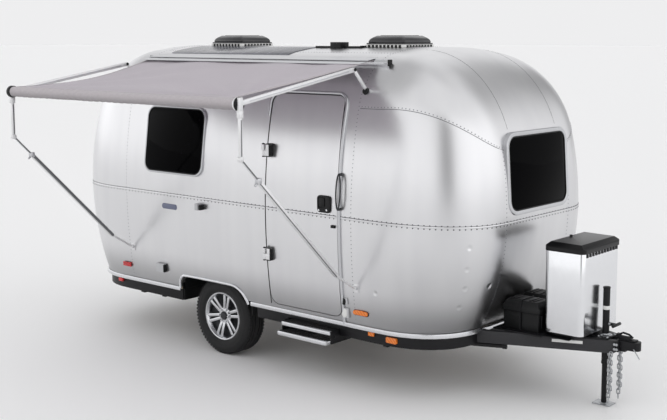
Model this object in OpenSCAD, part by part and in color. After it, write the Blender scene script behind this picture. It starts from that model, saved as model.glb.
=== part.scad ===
// Single-axle travel caravan with a rounded aluminium body, a side awning and a gas box on the A-frame.
// Origin: underside of the jack foot, on the ground. +X runs forward to the hitch, +Y to the street side, +Z up.

/* [Body] */
// Height of the belt seam, where the body is widest
belt_z = 1426; // [1300:1:1550]
// Half of the body's width at the belt
half_width = 1100; // [1000:1:1250]
// Top of the floor deck, where the walls start
floor_z = 565; // [520:1:620]
// Front of the body at the belt
front_x = -612; // [-700:1:-550]
// Rear of the body at the belt
rear_x = -5410; // [-5800:1:-5000]
// Thickness of walls, roof and door
wall = 40; // [30:1:60]
// Seam between the side panels and the front end
seam_front = -1660; // [-1800:1:-1560]
// Seam between the side panels and the rear end
seam_rear = -4450; // [-4560:1:-4300]

/* [Openings] */
// Rear and front edge of the doorway
door_x = [-2620, -1808]; // [-3000:1:-1700]
// Bottom and top of the doorway
door_z = [592, 2395]; // [580:1:2450]
// Gap round the door
door_gap = 6; // [5:0.5:12]
// Line of the door's hinge pins along the caravan
hinge_x = -2617; // [-2700:1:-2560]
// How far the hinge pins stand out from the wall at the belt
hinge_out = 18; // [14:1:30]
// Heights of the two hinges
hinge_zs = [1035, 1918]; // [700:1:2200]
// Width of a window's frame
frame_w = 30; // [15:1:50]

/* [Running gear] */
// Axle position along the caravan
axle_x = -3305; // [-3500:1:-3100]
// Tyre radius, which is also the axle's height
tyre_r = 351; // [300:1:380]
// Tyre width
tyre_w = 225; // [165:1:265]
// How far the tyre's outer face lies inside the wall at the belt
tyre_inset = 113; // [90:1:150]
// Radius of the wheel's rim
rim_r = 212; // [180:1:240]
// Radius of the stub axle in the hub
stub_r = 38; // [25:1:50]

/* [Tongue] */
// Top of the frame rails
rail_top = 540; // [500:1:560]
// Height of the frame rails
rail_h = 100; // [80:1:125]
// Ball socket's position along the tongue
socket_x = 250; // [200:1:300]
// Ball socket's radius
socket_r = 25.7; // [25:0.1:30]
// Gas box length, width, bottom and top
gas_box_size = [340, 596, 582, 1222]; // [200:1:1400]
// Front face of the gas box
gas_box_front = -49; // [-120:1:0]

/* [Awning] */
// Ends of the awning cloth along the caravan
cloth_x = [-4366, -1690]; // [-4500:1:-1500]
// Roller's distance from the centreline, and its height
roller_yz = [-2330, 2396]; // [-2600:1:2600]
// Roller radius
roller_r = 44; // [30:1:60]
// Positions of the two pairs of awning arms
arm_xs = [-4416, -1640]; // [-4500:1:-1500]

/* [Hidden] */
$fn = 48;
// Fineness of the shell's long arcs
fine = 256;
// Side section: a long arc under the belt, a long arc above it, a tight roof arc and a flat crown arc
low_r = 5400;
lean_r = 3870;
lean_a = 13.05;
roof_r = 560;
roof_a = 80;
lean_end = [half_width - lean_r * (1 - cos(lean_a)), belt_z + lean_r * sin(lean_a)];
roof_c = lean_end - roof_r * [cos(lean_a), sin(lean_a)];
roof_end = roof_c + roof_r * [cos(roof_a), sin(roof_a)];
crown_r = roof_end[0] / cos(roof_a);
crown_z = roof_end[1] - crown_r * sin(roof_a);
crown_h = crown_z + crown_r - belt_z;
// Plan corners: ellipse-like quarters between the flat side and the flat end
corner_w = 660;
corner_n = 2.4;
flat_y = half_width - corner_w;
// Each end: sign, x at the belt, corner length, height and depth of its leaning arc, radius under the belt, seam
FRONT = [1, front_x, 880, 580, 59, 1700, seam_front];
REAR = [-1, rear_x, 820, 612, 171, 1800, seam_rear];
rows_low = 5;
rows_lean = 4;
rows_roof = 10;
steps_corner = 10;
steps_flat = 4;
tyre_y = half_width - tyre_inset;
// Inner and outer face of the axle's arms
arm_y = [tyre_y - 297, tyre_y - 261];
crown_top = crown_z + crown_r;
vent_z = crown_top + 21;
hinge_xy = [hinge_x, -half_width - hinge_out];
rail_y = 560;
deck_t = 25;
// Awning rail: its angle round the roof arc, and how far it stands out
rail_a = 56;
rail_d = 40;
// Radius of the heads that hold the roller
head_r = 50;
// Front and rear ends of the plate that ties the tongue rails together
plate_x = [-150, 60];
// Wheel wells: ends, inner face and top
well_x = [-3782, -2828];
well_y = arm_y[1] + 2;
well_z = 772;
sheet_t = 12;
skirt_z = 430;
gas_x = gas_box_front - gas_box_size[0];
lid_gap = 0.3;
// Hinge behind the gas box: its line in x and z, knuckle and pin radius, half length of the lid's knuckle
lid_hinge = [gas_x - 12, gas_box_size[3] + lid_gap];
lid_knuckle_r = 6;
lid_pin_r = 3;
lid_knuckle_l = 60;
arch = [[-3792, 400], [-3782, 590], [-3766, 634], [-3740, 660], [-3706, 672], [-3110, 672],
        [-3060, 666], [-3010, 646], [-2968, 612], [-2934, 560], [-2906, 500], [-2880, 400]];
shell_col = [0.80, 0.81, 0.83];
bright_col = [0.86, 0.87, 0.88];
black_col = [0.06, 0.06, 0.065];

// Shell geometry

function arc_depth(r, h) = r - sqrt(r * r - h * h);
function mix(a, b, t) = a + (b - a) * t;
function crown_at(y) = crown_z + sqrt(crown_r * crown_r - y * y);
function end_r(e) = (e[3] * e[3] + e[4] * e[4]) / (2 * e[4]);
function end_a(e) = asin(e[3] / end_r(e));
function end_roof(e) = (crown_h - e[3]) / (1 - sin(end_a(e)));
function end_scale(e) = e[2] / (e[4] + end_roof(e) * cos(end_a(e)));

// Rows of the side section above the belt, as depth, height, and the wall normal's two parts
function side_row(j) =
    j <= rows_lean
    ? let (a = lean_a * j / rows_lean) [lean_r * (1 - cos(a)), lean_r * sin(a), cos(a), sin(a)]
    : let (a = mix(lean_a, roof_a, (j - rows_lean) / rows_roof))
      [half_width - roof_c[0] - roof_r * cos(a), roof_c[1] + roof_r * sin(a) - belt_z, cos(a), sin(a)];
// The same for an end's section, its depth stretched so that the roof arc ends at the corner's centre
function end_row(e, j) =
    let (k = end_scale(e), al = end_a(e),
         a = j <= rows_lean ? al * j / rows_lean : mix(al, 90, (j - rows_lean) / rows_roof),
         d = j <= rows_lean ? end_r(e) * (1 - cos(a)) : e[4] + end_roof(e) * (cos(al) - cos(a)),
         h = j <= rows_lean ? end_r(e) * sin(a) : e[3] + end_roof(e) * (sin(a) - sin(al)),
         n = sqrt(pow(cos(a), 2) + pow(k * sin(a), 2)))
    [k * d, h, cos(a) / n, k * sin(a) / n];

// Stations round an end, from one side seam to the other: x factor, y factor, y base, x base, end share
function stations(e) =
    let (s = e[0], xc = e[1] - e[0] * e[2])
    concat([[0, -s, -s * flat_y, e[6], 0]],
           [for (k = [0:steps_corner]) let (a = 90 - 90 * k / steps_corner)
               [pow(cos(a), 2 / corner_n), -s * pow(sin(a), 2 / corner_n), -s * flat_y, xc, pow(cos(a), 2)]],
           [for (k = [1:steps_flat - 1]) [1, 0, s * flat_y * (2 * k / steps_flat - 1), xc, 1]],
           [for (k = [steps_corner:-1:0]) let (a = 90 - 90 * k / steps_corner)
               [pow(cos(a), 2 / corner_n), s * pow(sin(a), 2 / corner_n), s * flat_y, xc, pow(cos(a), 2)]],
           [[0, s, s * flat_y, e[6], 0]]);

function upper_point(e, st, j, inner) =
    let (sr = side_row(j), er = end_row(e, j), last = side_row(rows_lean + rows_roof),
         t = inner ? wall : 0,
         ds = sr[0] + t * sr[2], de = er[0] + t * er[2],
         top = crown_at(st[2] + (corner_w - last[0]) * st[1]) - belt_z)
    [st[3] + e[0] * (e[2] - de) * st[0], st[2] + (corner_w - ds) * st[1],
     belt_z + top * mix(sr[1] / last[1], er[1] / crown_h, st[4]) - t * mix(sr[3], er[3], st[4])];

function lower_point(e, st, z, out) =
    let (ds = arc_depth(low_r, belt_z - z) - out, de = arc_depth(e[5], belt_z - z) - out)
    [st[3] + e[0] * (e[2] - de) * st[0], st[2] + (corner_w - ds) * st[1], z];

// A closed sheet from a grid of outer and inner points: columns run round the end, rows run up
module sheet(outer, inner) {
    m = len(outer);
    n = len(outer[0]);
    function o(i, j) = i * n + j;
    function q(i, j) = m * n + i * n + j;
    function quad(a, b, c, d) = [[a, b, c], [a, c, d]];
    polyhedron(
        points = concat([for (c = outer) each c], [for (c = inner) each c]),
        faces = concat(
            [for (i = [0:m - 2], j = [0:n - 2]) each quad(o(i, j), o(i, j + 1), o(i + 1, j + 1), o(i + 1, j))],
            [for (i = [0:m - 2], j = [0:n - 2]) each quad(q(i, j), q(i + 1, j), q(i + 1, j + 1), q(i, j + 1))],
            [for (i = [0:m - 2]) each quad(o(i, 0), o(i + 1, 0), q(i + 1, 0), q(i, 0))],
            [for (i = [0:m - 2]) each quad(o(i, n - 1), q(i, n - 1), q(i + 1, n - 1), o(i + 1, n - 1))],
            [for (j = [0:n - 2]) each quad(o(0, j), q(0, j), q(0, j + 1), o(0, j + 1))],
            [for (j = [0:n - 2]) each quad(o(m - 1, j), o(m - 1, j + 1), q(m - 1, j + 1), q(m - 1, j))]));
}

module end_upper(e) {
    grid = function (inner) [for (st = stations(e)) [for (j = [0:rows_lean + rows_roof]) upper_point(e, st, j, inner)]];
    sheet(grid(false), grid(true));
}

module end_lower(e) {
    grid = function (out) [for (st = stations(e)) [for (j = [0:rows_low])
        lower_point(e, st, mix(floor_z, belt_z, j / rows_low), out)]];
    sheet(grid(0), grid(-wall));
}

// Plan outline at the floor, moved outward by a given distance
function plan(out) = concat([for (st = stations(FRONT)) each [lower_point(FRONT, st, floor_z, out)]],
                            [for (st = stations(REAR)) each [lower_point(REAR, st, floor_z, out)]]);
module plan_slab(out, z0, z1) {
    translate([0, 0, z0]) linear_extrude(z1 - z0) polygon([for (p = plan(out)) [p[0], p[1]]]);
}

// Drawing aids

// A section in y and z, carried along x
module along_x(x0, x1) { translate([x0, 0, 0]) rotate([90, 0, 90]) linear_extrude(x1 - x0) children(); }
// An outline in x and z, carried along y
module along_y(y0, y1) { translate([0, y1, 0]) rotate([90, 0, 0]) linear_extrude(y1 - y0) children(); }
module both_sides() { children(); mirror([0, 1, 0]) children(); }
module box(x, y, z) { translate([x[0], y[0], z[0]]) cube([x[1] - x[0], y[1] - y[0], z[1] - z[0]]); }
module rounded(x, y, r) {
    translate([x[0] + r, y[0]]) square([x[1] - x[0] - 2 * r, y[1] - y[0]]);
    translate([x[0], y[0] + r]) square([x[1] - x[0], y[1] - y[0] - 2 * r]);
    for (cx = [x[0] + r, x[1] - r], cy = [y[0] + r, y[1] - r]) translate([cx, cy]) circle(r);
}
// A square bar between two points that share x
module bar_yz(x, w, h, a, b) {
    d = b - a;
    translate([x - w / 2, a[0], a[1]]) rotate([atan2(d[1], d[0]), 0, 0])
        translate([0, 0, -h / 2]) cube([w, norm(d), h]);
}

module sector(c, r, t, a0, a1) {
    translate(c) intersection() {
        difference() { circle(r, $fn = fine); circle(r - t, $fn = fine); }
        polygon([[0, 0], 2 * r * [cos(a0), sin(a0)], 2 * r * [cos(a1), sin(a1)]]);
    }
}
module lower_section() {
    intersection() {
        translate([half_width - low_r, belt_z]) difference() { circle(low_r, $fn = fine); circle(low_r - wall, $fn = fine); }
        translate([half_width - 250, floor_z]) square([400, belt_z - floor_z]);
    }
}
module upper_section() {
    sector([half_width - lean_r, belt_z], lean_r, wall, 0, lean_a);
    sector(roof_c, roof_r, wall, lean_a, roof_a);
}
// All that lies inside the shell's outer face, to fit pieces to it from outside
function arc(c, r, a0, a1, n) = [for (k = [0:n]) let (a = mix(a0, a1, k / n), f = cos((a1 - a0) / n / 2))
    c + r / f * [cos(a), sin(a)]];
module inside(points) { along_x(-5600, -300) polygon(concat(points, [[0, belt_z]])); }
module inside_low() { inside(arc([half_width - low_r, belt_z], low_r, -12, 0, 24)); }
module inside_lean() { inside(arc([half_width - lean_r, belt_z], lean_r, 0, 16, 32)); }
module inside_roof() { inside(arc(roof_c, roof_r, 10, 82, 72)); }
module inside_door_low() { intersection() { inside_low(); box([-3000, -1500], [half_width - 300, half_width + 100], [500, belt_z]); } }
module inside_door_lean() { intersection() { inside_lean(); box([-3000, -1500], [half_width - 300, half_width + 100], [belt_z, 2250]); } }
module inside_crown() { inside(arc([0, crown_z], crown_r, 80, 100, 40)); }

// Distance of the lower wall's outer face from the centreline at a height
function low_y(z) = half_width - arc_depth(low_r, belt_z - z);

module doorway(g = 0) {
    along_y(-half_width - 150, -half_width + 320) rounded([door_x[0] + g, door_x[1] - g], [door_z[0] + g, door_z[1] - g], 90 - g);
}
module arch_cut() { along_y(half_width - 400, half_width + 100) polygon(arch); }

// Windows: wall, place along the wall, centre height, width, height, tilt, distance of the wall at that height
WINDOWS = [["curb", -3795, 1925, 745, 570, 7.4, half_width - 32],
           ["street", -3795, 1925, 745, 570, 7.4, half_width - 32],
           ["street", -2220, 1925, 745, 570, 7.4, half_width - 32],
           ["front", 0, 1800, 844, 571, 3.8, front_x - 22],
           ["rear", 0, 1775, 844, 500, 9.6, rear_x + 29]];
module at_window(w) {
    if (w[0] == "curb") translate([w[1], -w[6], w[2]]) rotate([90 - w[5], 0, 0]) children();
    if (w[0] == "street") translate([w[1], w[6], w[2]]) mirror([0, 1, 0]) rotate([90 - w[5], 0, 0]) children();
    if (w[0] == "front") translate([w[6], 0, w[2]]) rotate([0, -w[5], 0]) rotate([90, 0, 90]) children();
    if (w[0] == "rear") translate([w[6], 0, w[2]]) mirror([1, 0, 0]) rotate([0, -w[5], 0]) rotate([90, 0, 90]) children();
}
module pane(w, inset, z0, z1) {
    translate([0, 0, z0]) linear_extrude(z1 - z0)
        rounded([-w[3] / 2 + inset, w[3] / 2 - inset], [-w[4] / 2 + inset, w[4] / 2 - inset], 80 - inset);
}
module window_cuts(side) { for (w = WINDOWS) if (w[0] == side) at_window(w) pane(w, 0, -200, 120); }

// Chassis

module floor_deck() {
    color([0.35, 0.33, 0.30]) difference() {
        plan_slab(0, floor_z - deck_t, floor_z);
        both_sides() box(well_x, [well_y, half_width + 100], [400, 700]);
    }
}

module chassis_rails() {
    color(black_col) both_sides() box([-5110, -1000], [rail_y - 25, rail_y + 25], [rail_top - rail_h, rail_top]);
}

module crossmembers() {
    color(black_col) for (x = [-5085, -4600, -3900, -2700, -2100, -1500])
        box([x - 20, x + 20], [-rail_y + 25, rail_y - 25], [rail_top - 80, rail_top]);
}

module skirt() {
    color(black_col) difference() {
        plan_slab(-22, skirt_z, rail_top);
        plan_slab(-52, skirt_z - 10, rail_top + 10);
        both_sides() box(well_x + 10 * [-1, 1], [600, half_width + 100], [300, 700]);
        both_sides() tongue_rail(4, 50);
        box([-2450, -1870], [-half_width - 100, -half_width + 300], [300, 486]);
    }
}

// One A-frame rail, from the ball coupler back under the floor, with room at its sides and over and under it
module tongue_rail(side = 0, room = 0) {
    a = [130, 48];
    b = [-1180, 590];
    d = b - a;
    translate([a[0], a[1], rail_top - rail_h - room]) rotate([0, 0, atan2(d[1], d[0])])
        translate([0, -25 - side, 0]) cube([norm(d), 50 + 2 * side, rail_h + 2 * room]);
}

module tongue_rails() {
    color(black_col) difference() {
        both_sides() tongue_rail();
        both_sides() box([-5340, -1000], [rail_y - 25, 900], [300, 700]);
        box([110, 300], [-300, 300], [300, 700]);
    }
}

// Plate that ties the rails together and carries the jack
module tongue_plate() {
    color(black_col) difference() {
        translate([0, 0, rail_top]) linear_extrude(10)
            polygon([[plate_x[0], -185], [plate_x[1], -104], [plate_x[1], 104], [plate_x[0], 185]]);
        translate([0, 0, rail_top - 5]) cylinder(r = 27, h = 30);
    }
}

module coupler() {
    color(black_col) difference() {
        union() {
            box([110, 190], [-84, 84], [rail_top - rail_h + 18, rail_top]);
            box([190, socket_x], [-46, 46], [rail_top - 66, rail_top]);
            translate([socket_x, 0, rail_top - 66]) cylinder(r = 46, h = 66);
            box([120, 215], [-14, 14], [rail_top, rail_top + 32]);
            box([100, 130], [-14, 14], [rail_top + 12, rail_top + 46]);
        }
        translate([socket_x, 0, rail_top - 70]) cylinder(r = socket_r, h = 44);
        box([150, socket_x + 60], [-120, -46], [400, 600]);
        box([150, socket_x + 60], [46, 120], [400, 600]);
    }
}

module jack_tube() {
    color(black_col) {
        translate([0, 0, 330]) cylinder(r = 27, h = 602);
        translate([0, 0, 12]) cylinder(r = 22, h = 318);
        translate([20, -9, 634]) cube([60, 18, 22]);
        translate([80, -60, 636]) cube([18, 120, 18]);
    }
}

module jack_foot() {
    color(bright_col) {
        translate([-75, -55, 0]) cube([150, 110, 8]);
        translate([0, 0, 8]) cylinder(r = 34, h = 4);
    }
}

module axle() {
    tube_x = axle_x + 150;
    color(black_col) {
        box([tube_x - 38, tube_x + 38], [-arm_y[0], arm_y[0]], [rail_top - rail_h - 76, rail_top - rail_h]);
        both_sides() {
            box([axle_x - 45, tube_x + 38], arm_y, [rail_top - rail_h - 120, rail_top - rail_h - 8]);
            translate([axle_x, arm_y[1], tyre_r]) rotate([-90, 0, 0]) cylinder(r = stub_r, h = 190);
            translate([axle_x, arm_y[1], tyre_r]) rotate([-90, 0, 0]) cylinder(r = 110, h = 22);
        }
    }
}

module wheel_wells() {
    color(black_col) both_sides() intersection() {
        difference() {
            box(well_x, [well_y, half_width], [floor_z - deck_t, well_z]);
            box(well_x + sheet_t * [1, -1], [well_y + sheet_t, half_width + 100], [300, well_z - sheet_t]);
        }
        inside(arc([half_width - low_r, belt_z], low_r - wall - 0.3, -12, 0, 24));
    }
}

// Shell panels

module side_lower_curb() {
    color(shell_col) mirror([0, 1, 0]) difference() {
        along_x(seam_rear, seam_front) lower_section();
        arch_cut();
        mirror([0, 1, 0]) doorway();
    }
}

module side_upper_curb() {
    color(shell_col) difference() {
        mirror([0, 1, 0]) along_x(seam_rear, seam_front) upper_section();
        doorway();
        window_cuts("curb");
    }
}

module side_lower_street() {
    color(shell_col) difference() {
        along_x(seam_rear, seam_front) lower_section();
        arch_cut();
    }
}

module side_upper_street() {
    color(shell_col) difference() {
        along_x(seam_rear, seam_front) upper_section();
        window_cuts("street");
    }
}

module roof() {
    color(shell_col) along_x(rear_x + REAR[2], front_x - FRONT[2]) sector([0, crown_z], crown_r, wall, roof_a, 180 - roof_a);
}

module front_lower() { color(shell_col) end_lower(FRONT); }
module rear_lower() { color(shell_col) end_lower(REAR); }
module front_upper() { color(shell_col) difference() { end_upper(FRONT); window_cuts("front"); } }
module rear_upper() { color(shell_col) difference() { end_upper(REAR); window_cuts("rear"); } }

module rub_rail() {
    color(bright_col) difference() {
        plan_slab(16, floor_z - 38, floor_z);
        plan_slab(0, floor_z - 60, floor_z + 10);
        both_sides() box([-3792, -2870], [600, half_width + 200], [300, 700]);
        both_sides() tongue_rail(2, 0.3);
    }
}

module arch_trim() {
    color(bright_col) both_sides() difference() {
        along_y(low_y(702) - 51, low_y(702) + 11) polygon([[-3822, 440], [-3812, 600], [-3790, 656], [-3752, 690], [-3706, 702], [-3104, 702],
                                     [-3048, 694], [-2990, 670], [-2942, 630], [-2906, 574], [-2878, 512], [-2850, 440]]);
        arch_cut();
        inside_low();
        plan_slab(16.2, 400, floor_z + 0.2);
    }
}

module window_frames() {
    color(bright_col) for (w = WINDOWS) at_window(w) difference() { pane(w, 0, -44, 12); pane(w, frame_w, -50, 20); }
}

module window_glass() {
    color([0.02, 0.02, 0.025]) for (w = WINDOWS) at_window(w) pane(w, frame_w, -30, 6);
}

// Fixed half of each hinge: a leaf on the wall, a knuckle and the pin
module door_hinges() {
    color([0.2, 0.2, 0.2]) difference() {
        for (z = hinge_zs) {
            box([hinge_xy[0] - 26, hinge_xy[0]], [hinge_xy[1] - 4, -half_width + 100], [z + 2, z + 48]);
            translate([hinge_xy[0], hinge_xy[1], z + 2]) cylinder(r = 12, h = 46);
            translate([hinge_xy[0], hinge_xy[1], z - 46]) cylinder(r = 6, h = 50);
        }
        mirror([0, 1, 0]) inside_door_low();
        mirror([0, 1, 0]) inside_door_lean();
    }
}

// Roof

module vent_bases() {
    color([0.75, 0.75, 0.75]) for (x = [-4000, -2044]) difference() {
        box([x - 215, x + 215], [-215, 215], [crown_top - 53, vent_z]);
        inside_crown();
    }
}

module lid_outline(x) {
    translate([x, vent_z]) polygon([[-200, 0], [200, 0], [200, 44], [150, 74], [-150, 74], [-200, 44]]);
}

module vent_lids() {
    color([0.10, 0.10, 0.11]) for (x = [-4000, -2044]) intersection() {
        along_x(x - 200, x + 200) lid_outline(0);
        along_y(-200, 200) lid_outline(x);
    }
}

module solar_panel() {
    function edge(t) = concat(arc(roof_c, roof_r + t, 71, 80, 5), [for (k = [1:5]) arc([0, crown_z], crown_r + t, 80, 85.6, 5)[k]]);
    color([0.13, 0.14, 0.17]) along_x(-4310, -2770) mirror([1, 0])
        polygon(concat(edge(5), [for (k = [10:-1:0]) edge(0)[k]]));
}

module solar_lead() {
    color(black_col) difference() {
        union() {
            box([-2560, -2440], [-330, -220], [crown_top - 73, crown_top + 39]);
            box([-2770, -2560], [-290, -276], [crown_top - 73, crown_top + 5]);
            box([-2440, -2259], [-283, -269], [crown_top - 73, crown_top + 5]);
            box([-2259, -2245], [-283, -215], [crown_top - 73, crown_top + 9]);
        }
        inside_crown();
    }
}

// Awning

module rail_bar() {
    along_x(cloth_x[0] - 60, cloth_x[1] + 150) translate(roof_c) rotate(rail_a)
        translate([roof_r - 12, -24]) square([12 + rail_d, 48]);
}

module awning_rail() {
    color(bright_col) mirror([0, 1, 0]) difference() {
        rail_bar();
        inside_roof();
    }
}

module awning_cloth() {
    a = [-(roof_c[0] + (roof_r + rail_d) * cos(rail_a)), roof_c[1] + (roof_r + rail_d) * sin(rail_a)];
    b = [roller_yz[0] + 8, roller_yz[1] + roller_r - 3];
    color([0.60, 0.58, 0.60]) difference() {
        along_x(cloth_x[0], cloth_x[1]) polygon([a, b, b - [0, 4], a - [0, 4]]);
        translate([-5000, roller_yz[0], roller_yz[1]]) rotate([0, 90, 0]) cylinder(r = roller_r, h = 4000);
        mirror([0, 1, 0]) rail_bar();
    }
}

module awning_roller() {
    color([0.62, 0.60, 0.62]) translate([cloth_x[0] - 20, roller_yz[0], roller_yz[1]]) rotate([0, 90, 0])
        cylinder(r = roller_r, h = cloth_x[1] - cloth_x[0] + 40);
}

// Upper arms: a rafter beside the cloth, its roller head and a short strut down to the body
module awning_rafters() {
    top = [-1100, 2606];
    foot = [-roof_c[0] - (roof_r - 10) * cos(28), roof_c[1] + (roof_r - 10) * sin(28)];
    color(bright_col) difference() {
        for (x = arm_xs, s = [x < -3000 ? -1 : 1]) {
            bar_yz(x, 26, 36, [roller_yz[0] + 10, roller_yz[1] + 6], top);
            bar_yz(x, 22, 26, foot, top);
            translate([x, foot[0] - 8, foot[1]]) rotate([90, 0, 0]) cylinder(r = 30, h = 40, center = true);
            translate([s > 0 ? cloth_x[1] + 20 : x - 13, roller_yz[0], roller_yz[1]]) rotate([0, 90, 0])
                cylinder(r = head_r, h = s > 0 ? x + 13 - cloth_x[1] - 20 : cloth_x[0] - 20 - x + 13);
        }
        mirror([0, 1, 0]) inside_roof();
    }
}

// Lower arms: upright from the roller head, then a brace to a bracket low on the wall
module awning_legs() {
    knee = [roller_yz[0], 2010];
    foot = [12 - half_width, 872];
    color([0.72, 0.73, 0.74]) difference() {
        for (x = arm_xs) {
            box([x - 15, x + 15], [knee[0] - 18, knee[0] + 18], [knee[1] - 20, roller_yz[1]]);
            bar_yz(x, 26, 34, foot, knee);
            box([x - 24, x + 24], [-half_width, -half_width + 70], [835, 905]);
        }
        mirror([0, 1, 0]) inside_low();
        translate([-5000, roller_yz[0], roller_yz[1]]) rotate([0, 90, 0]) cylinder(r = head_r, h = 4000);
    }
}

// Tongue equipment

module gas_tray() {
    color(black_col) difference() {
        box([gas_x - 380, plate_x[0]], [-310, 310], [rail_top, rail_top + 6]);
        box([gas_x - 400, gas_x - 8], [-500, -320], [500, 600]);
    }
    color(black_col) for (y = [-200, 200]) box([gas_x + 30, plate_x[0]], [y - 25, y + 25], [rail_top + 6, gas_box_size[2]]);
}

module gas_box() {
    w = gas_box_size[1] / 2;
    color(bright_col) difference() {
        translate([0, 0, gas_box_size[2]]) linear_extrude(gas_box_size[3] - gas_box_size[2])
            rounded([gas_x, gas_box_front], [-w, w], 46);
        translate([0, 0, gas_box_size[2] + 8]) linear_extrude(gas_box_size[3])
            rounded([gas_x + 8, gas_box_front - 8], [-w + 8, w - 8], 38);
    }
    color(bright_col) {
        both_sides() {
            y = [lid_knuckle_l + lid_gap, 2 * lid_knuckle_l];
            box([lid_hinge[0], gas_x], y, [lid_hinge[1] - 24, lid_hinge[1] - 1]);
            lid_pin(lid_knuckle_r, y[0], y[1]);
        }
        lid_pin(lid_pin_r, -2 * lid_knuckle_l, 2 * lid_knuckle_l);
    }
}

// A round bar on the line of the gas lid's hinge
module lid_pin(r, y0, y1) {
    translate([lid_hinge[0], y0, lid_hinge[1]]) rotate([-90, 0, 0]) cylinder(r = r, h = y1 - y0);
}

module gas_bottles() {
    color([0.85, 0.85, 0.82]) for (y = [-142, 142]) translate([(gas_x + gas_box_front) / 2, y, gas_box_size[2] + 8]) {
        cylinder(r = 125, h = 400);
        translate([0, 0, 400]) cylinder(r1 = 125, r2 = 60, h = 60);
        translate([0, 0, 460]) cylinder(r = 28, h = 60);
        translate([0, 0, 460]) difference() { cylinder(r = 100, h = 110); translate([0, 0, -1]) cylinder(r = 94, h = 112); }
        translate([0, 0, 430]) difference() { cylinder(r = 100, h = 31); translate([0, 0, -1]) cylinder(r = 88, h = 40); }
    }
}

// Cover of the gas box, hinged along its rear edge
module gas_lid() {
    w = gas_box_size[1] / 2 + 8;
    x = [gas_x - 4, gas_box_front + 8];
    z = gas_box_size[3] + lid_gap;
    color(black_col) difference() {
        intersection() {
            translate([0, 0, z]) linear_extrude(72) rounded(x, [-w, w], 50);
            along_x(x[0] - 10, x[1] + 10) polygon([[-w, z], [w, z], [w, z + 30], [w - 44, z + 70], [44 - w, z + 70], [-w, z + 30]]);
            along_y(-w - 10, w + 10) polygon([[x[0], z], [x[1], z], [x[1], z + 30], [x[1] - 44, z + 66], [x[0] + 44, z + 70], [x[0], z + 30]]);
        }
        translate([0, 0, z - 1]) linear_extrude(27) rounded([x[0] + 20, x[1] - 20], [-w + 20, w - 20], 30);
    }
    color(black_col) translate([x[0] + 70, 0, z + 60]) cylinder(r = 12, h = 26);
    color(black_col) difference() {
        union() {
            lid_pin(lid_knuckle_r, -lid_knuckle_l, lid_knuckle_l);
            box([lid_hinge[0], x[0] + 10], [-lid_knuckle_l, lid_knuckle_l], [z, z + lid_knuckle_r]);
        }
        lid_pin(lid_pin_r + 0.1, -lid_knuckle_l - 1, lid_knuckle_l + 1);
    }
}

module battery_boxes() {
    color([0.09, 0.09, 0.095]) for (y = [-215, 65]) intersection() {
        box([-745, -410], [y - 110, y + 110], [rail_top + 6, 800]);
        along_x(-800, -300) polygon([[y - 98, 540], [y + 98, 540], [y + 102, 700], [y + 110, 704], [y + 110, 740], [y + 84, 792], [y - 84, 792], [y - 110, 740], [y - 110, 704], [y - 102, 700]]);
        along_y(-400, 400) polygon([[-735, 540], [-420, 540], [-416, 700], [-410, 704], [-410, 740], [-440, 792], [-715, 792], [-745, 740], [-745, 704], [-739, 700]]);
    }
}

// Two treads in a folding frame under the doorway
module entry_step() {
    color(bright_col) {
        box([-2430, -1890], [-half_width - 15, -half_width + 200], [452, 478]);
        box([-2430, -1890], [-half_width - 65, -half_width + 170], [378, 404]);
    }
    color(black_col) for (x = [-2438, -1890]) {
        box([x, x + 8], [-half_width, -rail_y - 40], [370, 482]);
        box([x - 10, x + 18], [-rail_y - 140, -rail_y - 25], [440, rail_top]);
    }
}

// Small fittings

// Places on the two sides: piece, side, x, z, length, height, stand-off
module on_low_wall(side, x, z, l, h, t) {
    mirror([0, side < 0 ? 1 : 0, 0]) difference() {
        box([x - l / 2, x + l / 2], [low_y(z) - 20, low_y(z) + t], [z - h / 2, z + h / 2]);
        inside_low();
    }
}

module skirt_lamp(s, x) {
    difference() {
        box([x - 30, x + 30], s < 0 ? [-half_width + 74, -half_width + 140] : [half_width - 140, half_width - 74], [486, 520]);
        plan_slab(-22, 400, 600);
    }
}

// All that lies just inside the rear end's lower face
module rear_block() {
    grid = function (out) [for (st = stations(REAR)) [for (j = [0:rows_low])
        lower_point(REAR, st, mix(floor_z, belt_z, j / rows_low), out)]];
    sheet(grid(0), grid(-300));
}

module red_lamps() {
    color([0.75, 0.05, 0.05]) {
        for (s = [-1, 1]) {
            on_low_wall(s, -4535, 683, 110, 40, 18);
            skirt_lamp(s, -4690);
        }
        difference() {
            for (y = [-740, 740], z = [1010, 1150]) translate([-5200, y, z]) rotate([0, -90, 0]) cylinder(r = 58, h = 138);
            rear_block();
        }
    }
}

module amber_lamps() {
    color([0.95, 0.45, 0.05]) {
        for (s = [-1, 1]) {
            on_low_wall(s, -1618, 669, 80, 40, 18);
            skirt_lamp(s, -1530);
        }
    }
}

module grab_handle() {
    y = -half_width - 40;
    color([0.25, 0.25, 0.26]) difference() {
        union() {
            for (z = [1500, 1765]) box([-1785, -1757], [y, y + 100], [z - 14, z + 14]);
            box([-1785, -1757], [y - 16, y], [1486, 1779]);
        }
        mirror([0, 1, 0]) inside_lean();
    }
}

module side_fittings() {
    color([0.7, 0.7, 0.7]) {
        on_low_wall(-1, -4025, 716, 110, 80, 30);
        on_low_wall(-1, -3441, 1355, 40, 60, 45);
        on_low_wall(-1, -1765, 646, 60, 80, 16);
        on_low_wall(-1, -1765, 745, 50, 50, 12);
        on_low_wall(1, -4050, 900, 420, 380, 12);
        on_low_wall(1, -2150, 860, 360, 300, 12);
    }
}

module oval(r) {
    translate([-r, -15]) square([2 * r, 30]);
    for (y = [-15, 15]) translate([0, y]) circle(r, $fn = 24);
}

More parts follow.
